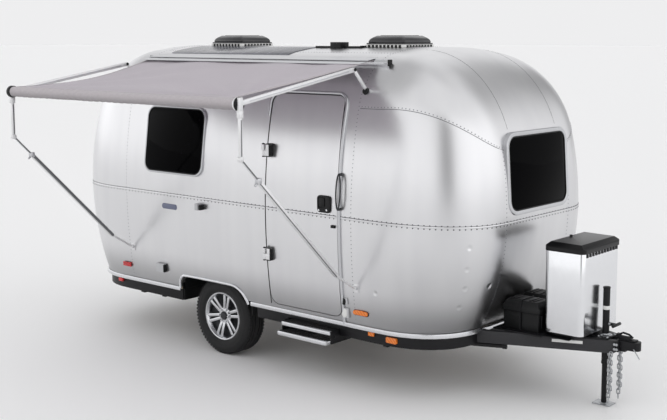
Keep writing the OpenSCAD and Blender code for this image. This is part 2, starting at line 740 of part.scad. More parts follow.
// Two safety chains, each hung from a lug under its rail
module chains() {
    color([0.62, 0.63, 0.64]) for (c = [[-1, 52], [1, 92]]) {
        y = c[0] * (48 + (130 - c[1]) * 0.4137);
        z = rail_top - rail_h;
        translate([c[1] - 5, y - 14, z - 24]) cube([10, 28, 24]);
        for (k = [0:8]) translate([c[1], y, z - 45 - 42 * k]) rotate([90, 0, 90 * (k % 2)])
            linear_extrude(8, center = true) difference() { oval(15); oval(7); }
    }
}

module stabilisers() {
    leg_y = half_width - 285;
    color(black_col) for (place = [[-4560, 0], [-1180, 1]]) both_sides() translate([place[0], 0, 0]) mirror([place[1], 0, 0]) {
        box([-60, 60], [rail_y + 25, leg_y + 45], [rail_top - 60, rail_top]);
        box([-20, 330], [leg_y - 25, leg_y + 25], [rail_top - 140, rail_top - 60]);
        box([300, 350], [leg_y - 55, leg_y + 55], [rail_top - 172, rail_top - 140]);
    }
}

module rear_bumper() {
    color(black_col) difference() {
        union() {
            box([-5300, -5240], [-700, 700], [440, 520]);
            for (y = [-rail_y, rail_y]) box([-5240, -5120], [y - 30, y + 30], [450, 510]);
        }
        plan_slab(-22, 400, 600);
    }
}

module number_plate() {
    color([0.9, 0.9, 0.9]) difference() {
        box([-5330, -5200], [-170, 170], [700, 850]);
        translate([-5330, 0, 700]) rotate([0, 21.1, 0]) translate([-80, -300, -100]) cube([80, 600, 400]);
        rear_block();
    }
}

// Running gear

module wheel(side) {
    color([0.72, 0.73, 0.75]) translate([axle_x, 0, tyre_r]) mirror([0, side < 0 ? 1 : 0, 0]) rotate([-90, 0, 0]) {
        difference() {
            union() {
                translate([0, 0, tyre_y - 200]) difference() {
                    cylinder(r = rim_r, h = 190);
                    translate([0, 0, -1]) cylinder(r = rim_r - 16, h = 192);
                }
                translate([0, 0, tyre_y - 40]) cylinder(r = rim_r - 10, h = 26);
                translate([0, 0, tyre_y - 190]) cylinder(r = 70, h = 170);
            }
            translate([0, 0, tyre_y - 240]) cylinder(r = stub_r + 0.1, h = 175);
            for (k = [0:5]) rotate(60 * k) translate([0, 0, tyre_y - 60]) {
                linear_extrude(60) polygon([[92, -26], [184, -58], [184, 58], [92, 26]]);
                rotate(30) linear_extrude(60) polygon([[104, -7], [180, -11], [180, 11], [104, 7]]);
            }
        }
    }
}

module tyre(side) {
    color(black_col) translate([axle_x, 0, tyre_r]) mirror([0, side < 0 ? 1 : 0, 0]) rotate([-90, 0, 0])
        translate([0, 0, tyre_y - tyre_w / 2]) rotate_extrude() {
            h = tyre_w / 2;
            polygon([[rim_r, -h + 20], [rim_r + 14, -h + 10], [rim_r + 60, -h], [rim_r + 100, -h + 6], [tyre_r - 16, -h + 18], [tyre_r, -h + 44],
                     [tyre_r, h - 44], [tyre_r - 16, h - 18], [rim_r + 100, h - 6], [rim_r + 60, h], [rim_r + 14, h - 10], [rim_r, h - 20]]);
        }
}

module wheel_curb() { wheel(-1); }
module wheel_street() { wheel(1); }
module tyre_curb() { tyre(-1); }
module tyre_street() { tyre(1); }

// Door

module door_panel() {
    color(shell_col) intersection() {
        mirror([0, 1, 0]) along_x(door_x[0], door_x[1]) { lower_section(); upper_section(); }
        doorway(door_gap);
        translate([0, 0, 400]) linear_extrude(2200)
            polygon([[door_x[0], -1300], [door_x[1] - 8, -1300], [door_x[1] - 8, hinge_xy[1]],
                     [door_x[1] - 8 - 0.09 * 338, hinge_xy[1] + 338], [door_x[0], hinge_xy[1] + 338]]);
    }
}

// Moving half of each hinge, the latch and the lock
module door_fittings() {
    color([0.15, 0.15, 0.15]) difference() {
        union() {
            for (z = hinge_zs) {
                box([hinge_xy[0] + 4, hinge_xy[0] + 62], [hinge_xy[1] - 6, -half_width + 100], [z - 48, z]);
                translate([hinge_xy[0], hinge_xy[1], z - 48]) cylinder(r = 12, h = 48);
            }
            box([-2010, -1890], [-half_width - 22, -half_width + 40], [1480, 1544]);
            box([-1900, -1866], [-half_width - 12, -half_width + 40], [1400, 1440]);
        }
        for (z = hinge_zs) translate([hinge_xy[0], hinge_xy[1], z - 60]) cylinder(r = 6.1, h = 80);
        mirror([0, 1, 0]) inside_door_low();
        mirror([0, 1, 0]) inside_door_lean();
    }
}

floor_deck();
chassis_rails();
crossmembers();
skirt();
tongue_rails();
tongue_plate();
coupler();
jack_tube();
jack_foot();
axle();
wheel_wells();
side_lower_curb();
side_upper_curb();
side_lower_street();
side_upper_street();
roof();
front_lower();
front_upper();
rear_lower();
rear_upper();
rub_rail();
arch_trim();
window_frames();
window_glass();
door_hinges();
vent_bases();
vent_lids();
solar_panel();
solar_lead();
awning_rail();
awning_cloth();
awning_roller();
awning_rafters();
awning_legs();
gas_tray();
gas_box();
gas_bottles();
battery_boxes();
entry_step();
red_lamps();
amber_lamps();
grab_handle();
side_fittings();
chains();
stabilisers();
rear_bumper();
number_plate();
wheel_curb();
tyre_curb();
wheel_street();
tyre_street();
door_panel();
door_fittings();
gas_lid();
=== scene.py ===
"""Looks of a single-axle travel caravan with a rounded body, a side awning and a gas locker."""
import logging
from collections.abc import Callable, Iterator, Sequence
from contextlib import contextmanager
from dataclasses import dataclass, field
from enum import Enum, auto
from functools import lru_cache, partial
from math import asin, atan2, cos, exp, hypot, pi, radians, sin, sqrt, tau

import bpy
import numpy as np
from mathutils import Matrix, Vector


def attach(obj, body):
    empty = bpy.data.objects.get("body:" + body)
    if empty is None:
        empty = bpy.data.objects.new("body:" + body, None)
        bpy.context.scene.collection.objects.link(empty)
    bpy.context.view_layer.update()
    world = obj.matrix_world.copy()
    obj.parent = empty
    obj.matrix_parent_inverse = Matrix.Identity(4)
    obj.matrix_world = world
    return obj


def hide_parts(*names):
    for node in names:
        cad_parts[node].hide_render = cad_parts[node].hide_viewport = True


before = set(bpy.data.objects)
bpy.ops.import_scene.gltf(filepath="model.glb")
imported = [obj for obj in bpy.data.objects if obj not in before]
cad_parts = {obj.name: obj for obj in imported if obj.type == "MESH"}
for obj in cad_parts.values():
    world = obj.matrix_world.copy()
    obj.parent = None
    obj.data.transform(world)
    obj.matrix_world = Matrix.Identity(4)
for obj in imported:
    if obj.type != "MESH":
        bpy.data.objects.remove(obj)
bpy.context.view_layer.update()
LOG = logging.getLogger("caravan")
CARAVAN, DOOR, LID = "caravan", "door", "gas_box_lid"
CURB, STREET = -1, 1
Surface = Callable[[float, float], Vector]
Spot = tuple[Vector, Vector]
Pair = tuple[float, float]
Path = Callable[[float], Pair]
Seam = tuple[Surface, Path]
Piece, Socket, Tree = bpy.types.Object, bpy.types.NodeSocket, bpy.types.NodeTree
X_AXIS, Y_AXIS, Z_AXIS = Vector((1, 0, 0)), Vector((0, 1, 0)), Vector((0, 0, 1))


# Finishes

def linear(code: str) -> tuple[float, float, float, float]:
    """Turns an sRGB hex value into a linear colour.

    Args:
        code: colour as #RRGGBB.
    Returns:
        Red, green, blue and alpha.
    """
    parts = [int(code[i:i + 2], 16) / 255 for i in (1, 3, 5)]
    low = [c / 12.92 if c <= 0.04045 else ((c + 0.055) / 1.055) ** 2.4 for c in parts]
    return low[0], low[1], low[2], 1.0


def add_node(tree: Tree, kind: str, settings: dict | None = None,
             links: dict | None = None) -> bpy.types.Node:
    """Adds a node with its settings and links.

    Args:
        tree: node tree that gets the node.
        kind: Blender's name of the shader node type, without its prefix.
        settings: properties or socket values by name.
        links: output sockets by the name of the input they feed.
    Returns:
        The new node.
    """
    node = tree.nodes.new("ShaderNode" + kind)
    for key, value in (settings or {}).items():
        if isinstance(key, str) and hasattr(node, key):
            setattr(node, key, value)
        else:
            node.inputs[key].default_value = value
    for key, source in (links or {}).items():
        tree.links.new(source, node.inputs[key])
    return node


class Pattern(Enum):
    """How a surface was made, which gives its grain."""
    ROLLED = auto()
    MOULDED = auto()
    WOVEN = auto()
    CELLS = auto()
    RIBBED = auto()
    PLANKS = auto()


@dataclass(frozen=True)
class Finish:
    """One real material: its usual slot in the record, and its colour, gloss and grain.

    The grain's size and depth are in millimetres. A wave is a slow unevenness of the whole sheet, and a thin
    sheet can let a share of the light through. A foot is the share of brightness that painted shade leaves at
    the bottom, and the front end's share is what painted shade leaves low on the front end. Dents are
    stations and height shares on the front's lower panel.
    """
    name: str
    slot: str
    colour: str
    tint: str
    metallic: float
    roughness: float
    spread: float
    grain_mm: float
    depth_mm: float = 0.0
    wave_mm: float = 0.0
    wave_depth_mm: float = 0.0
    pattern: Pattern = Pattern.MOULDED
    coat: float = 0.0
    specular: float = 0.5
    sheen: float = 0.0
    through: float = 0.0
    # Painted shade: a foot darkens the colour towards the bottom, and the front-end share darkens it low on
    # the front end.
    foot: float = 1.0
    low_shade_z: Pair = (0.57, 0.9)
    front_shade: float = 1.0
    front_shade_x: Pair = (-1.75, -0.95)
    front_shade_z: Pair = (0.6, 1.35)
    dents: tuple[Pair, ...] = ()
    dent_mm: float = 30.0
    dent_depth_mm: float = 7.0

    def grain(self, tree: Tree, place: Socket) -> Socket:
        """Adds the nodes that draw the grain.

        Args:
            tree: the material's node tree.
            place: coordinates to draw on.
        Returns:
            A socket with the grain, from 0 to 1.
        """
        scale = 1000 / self.grain_mm
        if self.pattern is Pattern.ROLLED:
            stretched = add_node(tree, "Mapping", {"Scale": (1, 1, 0.06)}, {"Vector": place})
            return add_node(tree, "TexNoise", {"Scale": scale, "Detail": 1.0},
                            {"Vector": stretched.outputs[0]}).outputs["Fac"]
        if self.pattern is Pattern.WOVEN:
            threads = [add_node(tree, "TexWave",
                                {"Scale": scale / 6.283, "bands_direction": axis, "Distortion": 0.6,
                                 "Detail": 1.0}, {"Vector": place}) for axis in ("X", "Y")]
            cross = add_node(tree, "Math", {"operation": "ADD"},
                             {0: threads[0].outputs["Fac"], 1: threads[1].outputs["Fac"]})
            half = add_node(tree, "Math", {"operation": "MULTIPLY", 1: 0.5}, {0: cross.outputs[0]})
            return half.outputs[0]
        if self.pattern in (Pattern.CELLS, Pattern.PLANKS):
            wide = 4.0 if self.pattern is Pattern.PLANKS else 1.0
            bricks = add_node(tree, "TexBrick",
                              {"Scale": scale, "Mortar Size": 0.02, "Brick Width": wide, "Row Height": 1.0,
                               "offset": 0.5 if wide > 1 else 0.0, "Color1": (0, 0, 0, 1),
                               "Color2": (0.12, 0.12, 0.12, 1), "Mortar": (1, 1, 1, 1)}, {"Vector": place})
            return bricks.outputs["Color"]
        if self.pattern is Pattern.RIBBED:
            return add_node(tree, "TexWave", {"Scale": scale / 6.283, "bands_direction": "DIAGONAL"},
                            {"Vector": place}).outputs["Fac"]
        return add_node(tree, "TexNoise", {"Scale": scale, "Detail": 5.0, "Roughness": 0.6},
                        {"Vector": place}).outputs["Fac"]

    @staticmethod
    def ramp(tree: Tree, value: Socket, span: Pair,
             low: float, high: float) -> Socket:
        """Adds a smooth ramp of a value, from a low result before the span to a high one after it."""
        return add_node(tree, "MapRange",
                        {"interpolation_type": "SMOOTHSTEP", "From Min": span[0], "From Max": span[1],
                         "To Min": low, "To Max": high}, {"Value": value}).outputs[0]

    @lru_cache(maxsize=None)
    def material(self) -> bpy.types.Material:
        """Builds the finish once.

        Returns:
            Its Blender material.
        """
        made = bpy.data.materials.new(self.name)
        made.use_nodes = True
        tree = made.node_tree
        tree.nodes.clear()
        place = add_node(tree, "TexCoord").outputs["Object"]
        grain = self.grain(tree, place)
        colour = add_node(tree, "Mix", {"data_type": "RGBA", 6: linear(self.colour), 7: linear(self.tint)},
                          {0: grain})
        base = colour.outputs[2]
        # Painted shade: the base colour is scaled darker towards the bottom, and low on the front end.
        if self.foot < 1:
            axes = add_node(tree, "SeparateXYZ", links={0: place}).outputs
            share = self.ramp(tree, axes[2], self.low_shade_z, self.foot, 1.0)
            base = add_node(tree, "VectorMath", {"operation": "SCALE"}, {0: base, "Scale": share}).outputs[0]
        if self.front_shade < 1:
            front = self.ramp(tree, axes[0], self.front_shade_x, 1.0, 0.0)
            share = self.ramp(tree, axes[2], self.front_shade_z, self.front_shade, 1.0)
            share = add_node(tree, "Mix", {3: 1.0}, {0: front, 2: share}).outputs[0]
            base = add_node(tree, "VectorMath", {"operation": "SCALE"}, {0: base, "Scale": share}).outputs[0]
        gloss = add_node(tree, "MapRange",
                         {"To Min": max(self.roughness - self.spread, 0.02),
                          "To Max": self.roughness + self.spread}, {"Value": grain})
        shader = add_node(tree, "BsdfPrincipled",
                          {"Metallic": self.metallic, "Coat Weight": self.coat, "Coat Roughness": 0.12,
                           "Specular IOR Level": self.specular, "Sheen Weight": self.sheen,
                           "Sheen Roughness": 0.5}, {"Base Color": base, "Roughness": gloss.outputs[0]})
        bumps = [(grain, self.depth_mm)]
        if self.wave_depth_mm:
            slow = add_node(tree, "TexNoise", {"Scale": 1000 / self.wave_mm, "Detail": 1.0},
                            {"Vector": place})
            bumps.append((slow.outputs["Fac"], self.wave_depth_mm))
        for station, share in self.dents:
            spot = FORM.lower(FORM.front, station, share)
            away = add_node(tree, "VectorMath", {"operation": "DISTANCE", 1: spot},
                            {0: place}).outputs["Value"]
            bumps.append((self.ramp(tree, away, (0.0, self.dent_mm / 1000), 0.0, 1.0), self.dent_depth_mm))
        under = None
        for height, depth in bumps:
            if depth:
                links = {"Height": height} | ({"Normal": under} if under else {})
                under = add_node(tree, "Bump", {"Distance": depth / 1000, "Strength": 0.8}, links).outputs[0]
        if under:
            tree.links.new(under, shader.inputs["Normal"])
        surface = shader.outputs[0]
        if self.through:
            thin = add_node(tree, "BsdfTranslucent", links={"Color": colour.outputs[2]})
            surface = add_node(tree, "MixShader", {0: self.through},
                               {1: surface, 2: thin.outputs[0]}).outputs[0]
        add_node(tree, "OutputMaterial", links={"Surface": surface})
        return made


# Clear-coated rolled aluminium: silky vertical streaks and slow waves that bend the reflections. Its colour
# darkens towards the bottom and low on the front end, a painted reflection of dark ground.
SKIN = Finish("clear_coated_aluminium", "shell", "#E0E0E1", "#D7D7D9", 1.0, 0.29, 0.015, 130, 0.0, 420, 1.0,
              Pattern.ROLLED, foot=0.58, front_shade=0.68,
              dents=((1.02, 0.34), (1.65, 0.82), (1.65, 0.62), (1.66, 0.44), (1.65, 0.26), (1.88, 0.44)))
# White-grey laminated lining, faintly textured.
LINING = Finish("laminated_lining", "shell", "#C9C8C4", "#BDBCB8", 0.0, 0.5, 0.06, 5, 0.1)
# Bright anodised extrusion, almost a mirror with fine draw lines.
BRIGHT = Finish("bright_anodised_aluminium", "bright_trim", "#E3E4E6", "#D2D3D6", 1.0, 0.2, 0.04, 30)
# Satin anodised tube, softer and greyer.
SATIN = Finish("satin_anodised_aluminium", "bright_trim", "#CFD0D2", "#BEBFC2", 1.0, 0.33, 0.05, 12, 0.02)
# Polished sheet with slow ripples from bending.
POLISHED = Finish("polished_aluminium_sheet", "polished_box", "#EBECEE", "#E2E3E5", 1.0, 0.19, 0.03, 40, 0.0,
                  200, 2.6)
# Sealant in the seams: matt mid grey. The same grey draws the dark line over the belt's lap, a painted
# shadow.
SEALANT = Finish("grey_sealant_and_shadow_line", "shell", "#6C6D70", "#5B5C5F", 0.0, 0.6, 0.08, 8, 0.2)
# Rivet heads: dull, and painted darker than the sheet as shade, standing in for the small shadows round them.
RIVET = Finish("rivets_with_painted_shade", "shell", "#A0A1A5", "#8F9094", 0.7, 0.5, 0.06, 20)
BELT_RIVET = Finish("shaded_rivets", "shell", "#5A5B5F", "#4B4C50", 0.6, 0.5, 0.06, 20)
# Grey open side of the awning's legs, partly painted shade: it covers most of the rear leg's brace and
# darkens the front leg's lower edge.
CHANNEL_AND_SHADE = Finish("grey_channel_and_painted_shade", "arm_silver", "#77787B", "#6A6B6E", 0.3, 0.45, 0.06, 10)
# Satin black chassis paint, slightly peeled and dusty, and a paler copy of the same paint on the towing
# rails.
RAIL_PAINT = Finish("paler_black_paint", "chassis_black", "#2E2E30", "#39393B", 0.0, 0.42, 0.1, 14, 0.12,
                    specular=0.25)
BLACK_PAINT = Finish("satin_black_paint", "chassis_black", "#0D0D0F", "#18181B", 0.0, 0.42, 0.1, 14, 0.12,
                     specular=0.25)
# Black moulded plastic with a fine leather grain.
BLACK_PLASTIC = Finish("black_moulded_plastic", "black_plastic", "#0D0D0E", "#161718", 0.0, 0.4, 0.08, 3,
                       0.12, specular=0.25)
# Grey moulded plastic.
GREY_PLASTIC = Finish("grey_moulded_plastic", "fitting_grey", "#BFC0C2", "#B2B3B5", 0.0, 0.45, 0.06, 4, 0.08)
WHITE_PLASTIC = Finish("white_moulded_plastic", "plate_white", "#E4E4E2", "#D8D8D6", 0.0, 0.4, 0.06, 4, 0.06)
# Dark tinted glazing: near black, sharp gloss.
GLASS = Finish("dark_tinted_glazing", "glass_dark", "#020203", "#040405", 0.0, 0.05, 0.02, 200,
               specular=0.02)
# Smoked acrylic of the vent lids.
SMOKED = Finish("smoked_acrylic", "vent_smoke", "#1A1A1D", "#26262A", 0.0, 0.2, 0.05, 60, coat=0.3)
# Flexible solar laminate: dark cells between paler lines.
SOLAR = Finish("solar_laminate", "solar_cell", "#3B3D48", "#8F9099", 0.0, 0.28, 0.05, 160,
               pattern=Pattern.CELLS, coat=0.2)
# Woven awning cloth, lilac grey with a dull sheen. Threads are drawn ten times as coarse to show.
CLOTH = Finish("woven_awning_cloth", "awning_fabric", "#DDD7DD", "#CBC5CB", 0.0, 0.8, 0.06, 9, 0.25, 300,
               6.0, Pattern.WOVEN, sheen=0.2, through=0.35)
# Cloth wound on the roller; its colour darkens towards the bottom, painted shade on the roll's underside.
ROLLED_CLOTH = Finish("rolled_awning_cloth", "awning_fabric", "#C3BDC0", "#ADA7AA", 0.0, 0.85, 0.05, 16, 0.9,
                      sheen=0.1, foot=0.6, low_shade_z=(2.352, 2.425))
# Zinc plate: pale blue-grey, mottled.
ZINC = Finish("zinc_plated_steel", "zinc", "#C2C4C7", "#8E9194", 1.0, 0.34, 0.1, 18, 0.1)
# Machined cast alloy of the wheels, and the dark paint in their pockets.
ALLOY = Finish("machined_cast_alloy", "alloy", "#D4D5D7", "#C2C3C6", 1.0, 0.22, 0.05, 5, 0.02)
DARK_ALLOY = Finish("dark_painted_alloy", "fitting_grey", "#2B2C2F", "#37383B", 0.3, 0.4, 0.08, 10, 0.05)
# Tyre rubber: dull black, grey where it is dusty.
RUBBER = Finish("tyre_rubber", "tyre", "#121213", "#242425", 0.0, 0.7, 0.1, 12, 0.25, specular=0.35)
# Moulded lamp lenses with fine ribs.
RED_LENS = Finish("red_lens", "red_lens", "#C01318", "#D8363A", 0.0, 0.16, 0.04, 8, 0.3,
                  pattern=Pattern.RIBBED, coat=0.4)
AMBER_LENS = Finish("amber_lens", "amber_lens", "#D8660A", "#EA8528", 0.0, 0.16, 0.04, 8, 0.3,
                    pattern=Pattern.RIBBED, coat=0.4)
# Vinyl floor over plywood.
FLOOR = Finish("vinyl_planks", "deck", "#8A7F72", "#5C544B", 0.0, 0.45, 0.08, 150, 0.3,
               pattern=Pattern.PLANKS)
# Blue-grey enamel of the blank badge, and the satin black of the locker's lid.
BADGE = Finish("blue_grey_enamel", "fitting_grey", "#73788C", "#656A80", 0.3, 0.35, 0.04, 10, 0.03)
LID_BLACK = Finish("satin_black_lid", "black_plastic", "#08080A", "#0E0E10", 0.0, 0.3, 0.05, 5, 0.06,
                   specular=0.3)
# Pale anodised tube of the awning's arms.
ARM = Finish("pale_anodised_tube", "arm_silver", "#E6E6E7", "#D9D9DA", 0.6, 0.36, 0.05, 25)
BOTTLE = Finish("bottle_paint", "bottle_paint", "#E3E1D8", "#D5D3CA", 0.0, 0.35, 0.06, 20, 0.1)


# Modelling aids

def select_only(*objects: Piece) -> None:
    """Leaves only these objects selected, with the first one active."""
    for other in bpy.context.selected_objects:
        other.select_set(False)
    for chosen in objects:
        chosen.select_set(True)
    bpy.context.view_layer.objects.active = objects[0]


@contextmanager
def editing(obj: Piece) -> Iterator[None]:
    """Opens an object in edit mode with everything selected.

    Args:
        obj: mesh object to edit.
    Returns:
        A context that goes back to object mode.
    """
    select_only(obj)
    bpy.ops.object.mode_set(mode="EDIT")
    bpy.ops.mesh.select_all(action="SELECT")
    yield
    bpy.ops.object.mode_set(mode="OBJECT")


def modify(obj: Piece, kind: str, **settings: object) -> Piece:
    """Adds a modifier and applies it.

    Args:
        obj: mesh object.
        kind: modifier type.
        settings: the modifier's properties.
    Returns:
        The same object.
    """
    modifier = obj.modifiers.new(kind.lower(), kind)
    for key, value in settings.items():
        setattr(modifier, key, value)
    select_only(obj)
    bpy.ops.object.modifier_apply(modifier=modifier.name)
    return obj


def placed(name: str, data: bpy.types.ID) -> Piece:
    """Puts a new object with some data in the scene."""
    obj = bpy.data.objects.new(name, data)
    bpy.context.scene.collection.objects.link(obj)
    return obj


def fresh(name: str) -> Piece:
    """Names the primitive just added and applies its place."""
    obj = bpy.context.active_object
    obj.name = name
    select_only(obj)
    bpy.ops.object.transform_apply()
    return obj


def smooth(obj: Piece, degrees: float = 32) -> Piece:
    """Shades an object smooth up to an angle."""
    select_only(obj)
    bpy.ops.object.shade_smooth_by_angle(angle=radians(degrees))
    return obj


def soften(obj: Piece, width: float, segments: int = 2, degrees: float = 32) -> Piece:
    """Rounds an object's edges, sharp from an angle on, to a width in metres with steps across it."""
    modify(obj, "BEVEL", width=width, segments=segments, limit_method="ANGLE", angle_limit=radians(degrees),
           use_clamp_overlap=True)
    return smooth(obj)


def shaped(obj: Piece, points: Sequence[Vector]) -> Piece:
    """Moves an object's vertices to new points, in order."""
    obj.data.vertices.foreach_set("co", np.array(points, np.float32).ravel())
    obj.data.update()
    return obj


def joined(objects: Sequence[Piece]) -> Piece:
    """Joins objects into the first one, which is returned."""
    select_only(*objects)
    if len(objects) > 1:
        bpy.ops.object.join()
    return objects[0]


def block(lo: Sequence[float], hi: Sequence[float], bevel: float = 0.004, segments: int = 2) -> Piece:
    """A box between two opposite corners, with its edges rounded to a width with steps across it."""
    low, high = Vector(map(min, lo, hi)), Vector(map(max, lo, hi))
    bpy.ops.mesh.primitive_cube_add(size=1, location=(low + high) / 2, scale=high - low)
    return soften(fresh("block"), bevel, segments)


def rod(a: Sequence[float], b: Sequence[float], radius: float, tip: float | None = None, bevel: float = 0.0,
        sides: int = 24) -> Piece:
    """A round bar or cone between two points.

    Args:
        a: centre of the first end.
        b: centre of the other end.
        radius: radius at the first end.
        tip: radius at the other end, if it differs.
        bevel: rounding of the rims.
        sides: number of sides.
    Returns:
        The new object.
    """
    start, stop = Vector(a), Vector(b)
    turn = (stop - start).to_track_quat("Z", "Y").to_euler()
    bpy.ops.mesh.primitive_cone_add(vertices=sides, radius1=radius, radius2=radius if tip is None else tip,
                                    depth=(stop - start).length, location=(start + stop) / 2, rotation=turn)
    obj = fresh("rod")
    return soften(obj, bevel, 2, 40) if bevel else smooth(obj, 40)


def bar(a: Sequence[float], b: Sequence[float], width: float, height: float, bevel: float = 0.004,
        side: Vector = X_AXIS) -> Piece:
    """A rectangular bar between two points.

    Args:
        a: centre of the first end.
        b: centre of the other end.
        width: size along the side direction.
        height: size across it.
        bevel: rounding of the edges.
        side: direction of the width, at a right angle to the bar.
    Returns:
        The new object.
    """
    start, stop = Vector(a), Vector(b)
    along = (stop - start).normalized()
    turn = Matrix((side.normalized(), along, side.normalized().cross(along))).transposed().to_4x4()
    bpy.ops.mesh.primitive_cube_add(size=1)
    obj = bpy.context.active_object
    obj.matrix_world = Matrix.Translation((start + stop)
                                          / 2) @ turn @ Matrix.Diagonal((width, (stop - start).length,
                                                                         height, 1))
    return soften(fresh("bar"), bevel, 2)


def pipe(points: Sequence[Sequence[float]], radius: float, sides: int = 4) -> Piece:
    """A round tube along a line of points.

    Args:
        points: points of the centreline.
        radius: tube radius.
        sides: steps in a quarter of the section.
    Returns:
        The new mesh object.
    """
    curve = bpy.data.curves.new("pipe", "CURVE")
    curve.dimensions, curve.use_fill_caps = "3D", True
    curve.bevel_depth, curve.bevel_resolution = radius, sides
    spline = curve.splines.new("POLY")
    spline.points.add(len(points) - 1)
    for spot, place in zip(spline.points, points):
        spot.co = (*place, 1)
    select_only(placed("pipe", curve))
    bpy.ops.object.convert(target="MESH")
    return smooth(bpy.context.active_object, 50)


def slab(outline: Sequence[Sequence[float]], push: Sequence[float]) -> Piece:
    """A flat outline pushed into a solid.

    Args:
        outline: corners in space, in order.
        push: direction and depth.
    Returns:
        The new object.
    """
    bpy.ops.mesh.primitive_circle_add(vertices=len(outline), fill_type="NGON")
    obj = shaped(fresh("slab"), [Vector(p) for p in outline])
    with editing(obj):
        bpy.ops.mesh.extrude_region_move(TRANSFORM_OT_translate={"value": tuple(push)})
        bpy.ops.mesh.select_all(action="SELECT")
        bpy.ops.mesh.normals_make_consistent(inside=False)
    return obj


def ring(frames: Sequence[tuple[Vector, Vector, Vector]], profile: Sequence[Pair]) -> Piece:
    """A closed profile carried round a closed path.

    Args:
        frames: for each step its origin and the profile's two directions.
        profile: section points along those directions.
    Returns:
        The new object.
    """
    bpy.ops.mesh.primitive_torus_add(major_segments=len(frames), minor_segments=len(profile))
    obj = shaped(fresh("ring"), [o + a * p + b * q for o, a, b in frames for p, q in profile])
    with editing(obj):
        bpy.ops.mesh.remove_doubles(threshold=1e-6)
        bpy.ops.mesh.dissolve_degenerate(threshold=1e-7)
        bpy.ops.mesh.normals_make_consistent(inside=False)
    return smooth(obj, 35)


def lathe(centre: Vector, axis: Vector, profile: Sequence[Pair], steps: int = 64) -> Piece:
    """A closed profile turned about an axis.

    Args:
        centre: point on the axis where heights start.
        axis: direction of the heights.
        profile: radius and height of each point.
        steps: steps in a full turn.
    Returns:
        The new object.
    """
    first = axis.orthogonal().normalized()
    second = axis.cross(first)
    turns = [tau * k / steps for k in range(steps)]
    return ring([(centre, first * cos(t) + second * sin(t), axis) for t in turns], profile)


def formed(columns: int, rows: int, place: Surface) -> Piece:
    """A grid bent to a surface, with its faces outward.

    Args:
        columns: cells along the first parameter.
        rows: cells along the second.
        place: point for two parameters from 0 to 1.
    Returns:
        The new object.
    """
    bpy.ops.mesh.primitive_grid_add(x_subdivisions=columns, y_subdivisions=rows, size=1)
    obj = fresh("sheet")
    shaped(obj, [place(v.co.x + 0.5, v.co.y + 0.5) for v in obj.data.vertices])
    return obj


def face_away(obj: Piece, inside: Vector) -> Piece:
    """Turns an open sheet's faces away from an inner point."""
    if sum((f.center - inside).dot(f.normal) * f.area for f in obj.data.polygons) < 0:
        with editing(obj):
            bpy.ops.mesh.flip_normals()
    return obj


def cut(obj: Piece, cutter: Piece, operation: str = "DIFFERENCE") -> Piece:
    """Cuts one object with another by a boolean operation, removes the cutter and returns the object."""
    modify(obj, "BOOLEAN", operation=operation, object=cutter, solver="EXACT")
    bpy.data.objects.remove(cutter)
    return obj


def scatter(pattern: Piece, spots: Sequence[Spot]) -> Piece:
    """Copies a small mesh to many spots as one joined mesh.

    Args:
        pattern: mesh that stands on the origin along z; it is removed.
        spots: places with the direction in which each copy stands.
    Returns:
        The joined object.
    """
    shape = np.array([v.co for v in pattern.data.vertices])
    faces = [tuple(f.vertices) for f in pattern.data.polygons]
    points, polygons = [], []
    for count, (place, normal) in enumerate(spots):
        turn = np.array(normal.to_track_quat("Z", "Y").to_matrix())
        points.append(shape @ turn.T + np.array(place))
        polygons += [tuple(i + count * len(shape) for i in f) for f in faces]
    mesh = bpy.data.meshes.new("scattered")
    mesh.from_pydata(np.concatenate(points), [], polygons)
    bpy.data.objects.remove(pattern)
    return smooth(placed("scattered", mesh), 60)


def dome(radius: float, height: float, sides: int = 8) -> Piece:
    """A low round head that stands on the origin."""
    bpy.ops.mesh.primitive_cone_add(vertices=sides, radius1=radius, radius2=radius * 0.5, depth=height,
                                    location=(0, 0, height / 2 - 0.0004))
    return fresh("dome")


def from_node(node: str, bevel: float, segments: int = 2) -> Piece:
    """A copy of a CAD node with merged faces and rounded edges.

    Args:
        node: name of the node.
        bevel: width of the rounding.
        segments: steps across it.
    Returns:
        The new object.
    """
    obj = placed("dressed_" + node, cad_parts[node].data.copy())
    obj.data.materials.clear()
    with editing(obj):
        bpy.ops.mesh.customdata_custom_splitnormals_clear()
        bpy.ops.mesh.remove_doubles(threshold=1e-5)
        bpy.ops.mesh.dissolve_limited(angle_limit=radians(0.5))
    return soften(obj, bevel, segments) if bevel else smooth(obj)


def dress(made: Piece | Sequence[Piece], name: str, finish: Finish, node: str = "", slot: str = "",
          body: str = CARAVAN) -> Piece:
    """Gives a finished piece its name, material and body.

    Args:
        made: finished object, or objects to join. A panel that has its finish already keeps its materials.
        name: name of the piece.
        finish: its material.
        node: CAD node that it stands for, if any.
        slot: record's material slot, if it isn't the finish's own; not used.
        body: CAD body that carries it.
    Returns:
        The piece.
    """
    obj = made if isinstance(made, Piece) else joined(made)
    obj.name = name
    if finish.material().name not in obj.data.materials:
        obj.data.materials.clear()
        obj.data.materials.append(finish.material())
    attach(obj, body)
    slot or finish.slot
    if node:
        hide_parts(node)
    LOG.info("%s on %s, %d faces", name, body, len(obj.data.polygons))
    return obj


def dress_node(node: str, name: str, finish: Finish, bevel: float, segments: int = 2, slot: str = "",
               body: str = CARAVAN) -> None:
    """Dresses a rounded copy of a CAD node, with the same arguments as from_node and dress."""
    dress(from_node(node, bevel, segments), name, finish, node, slot, body)


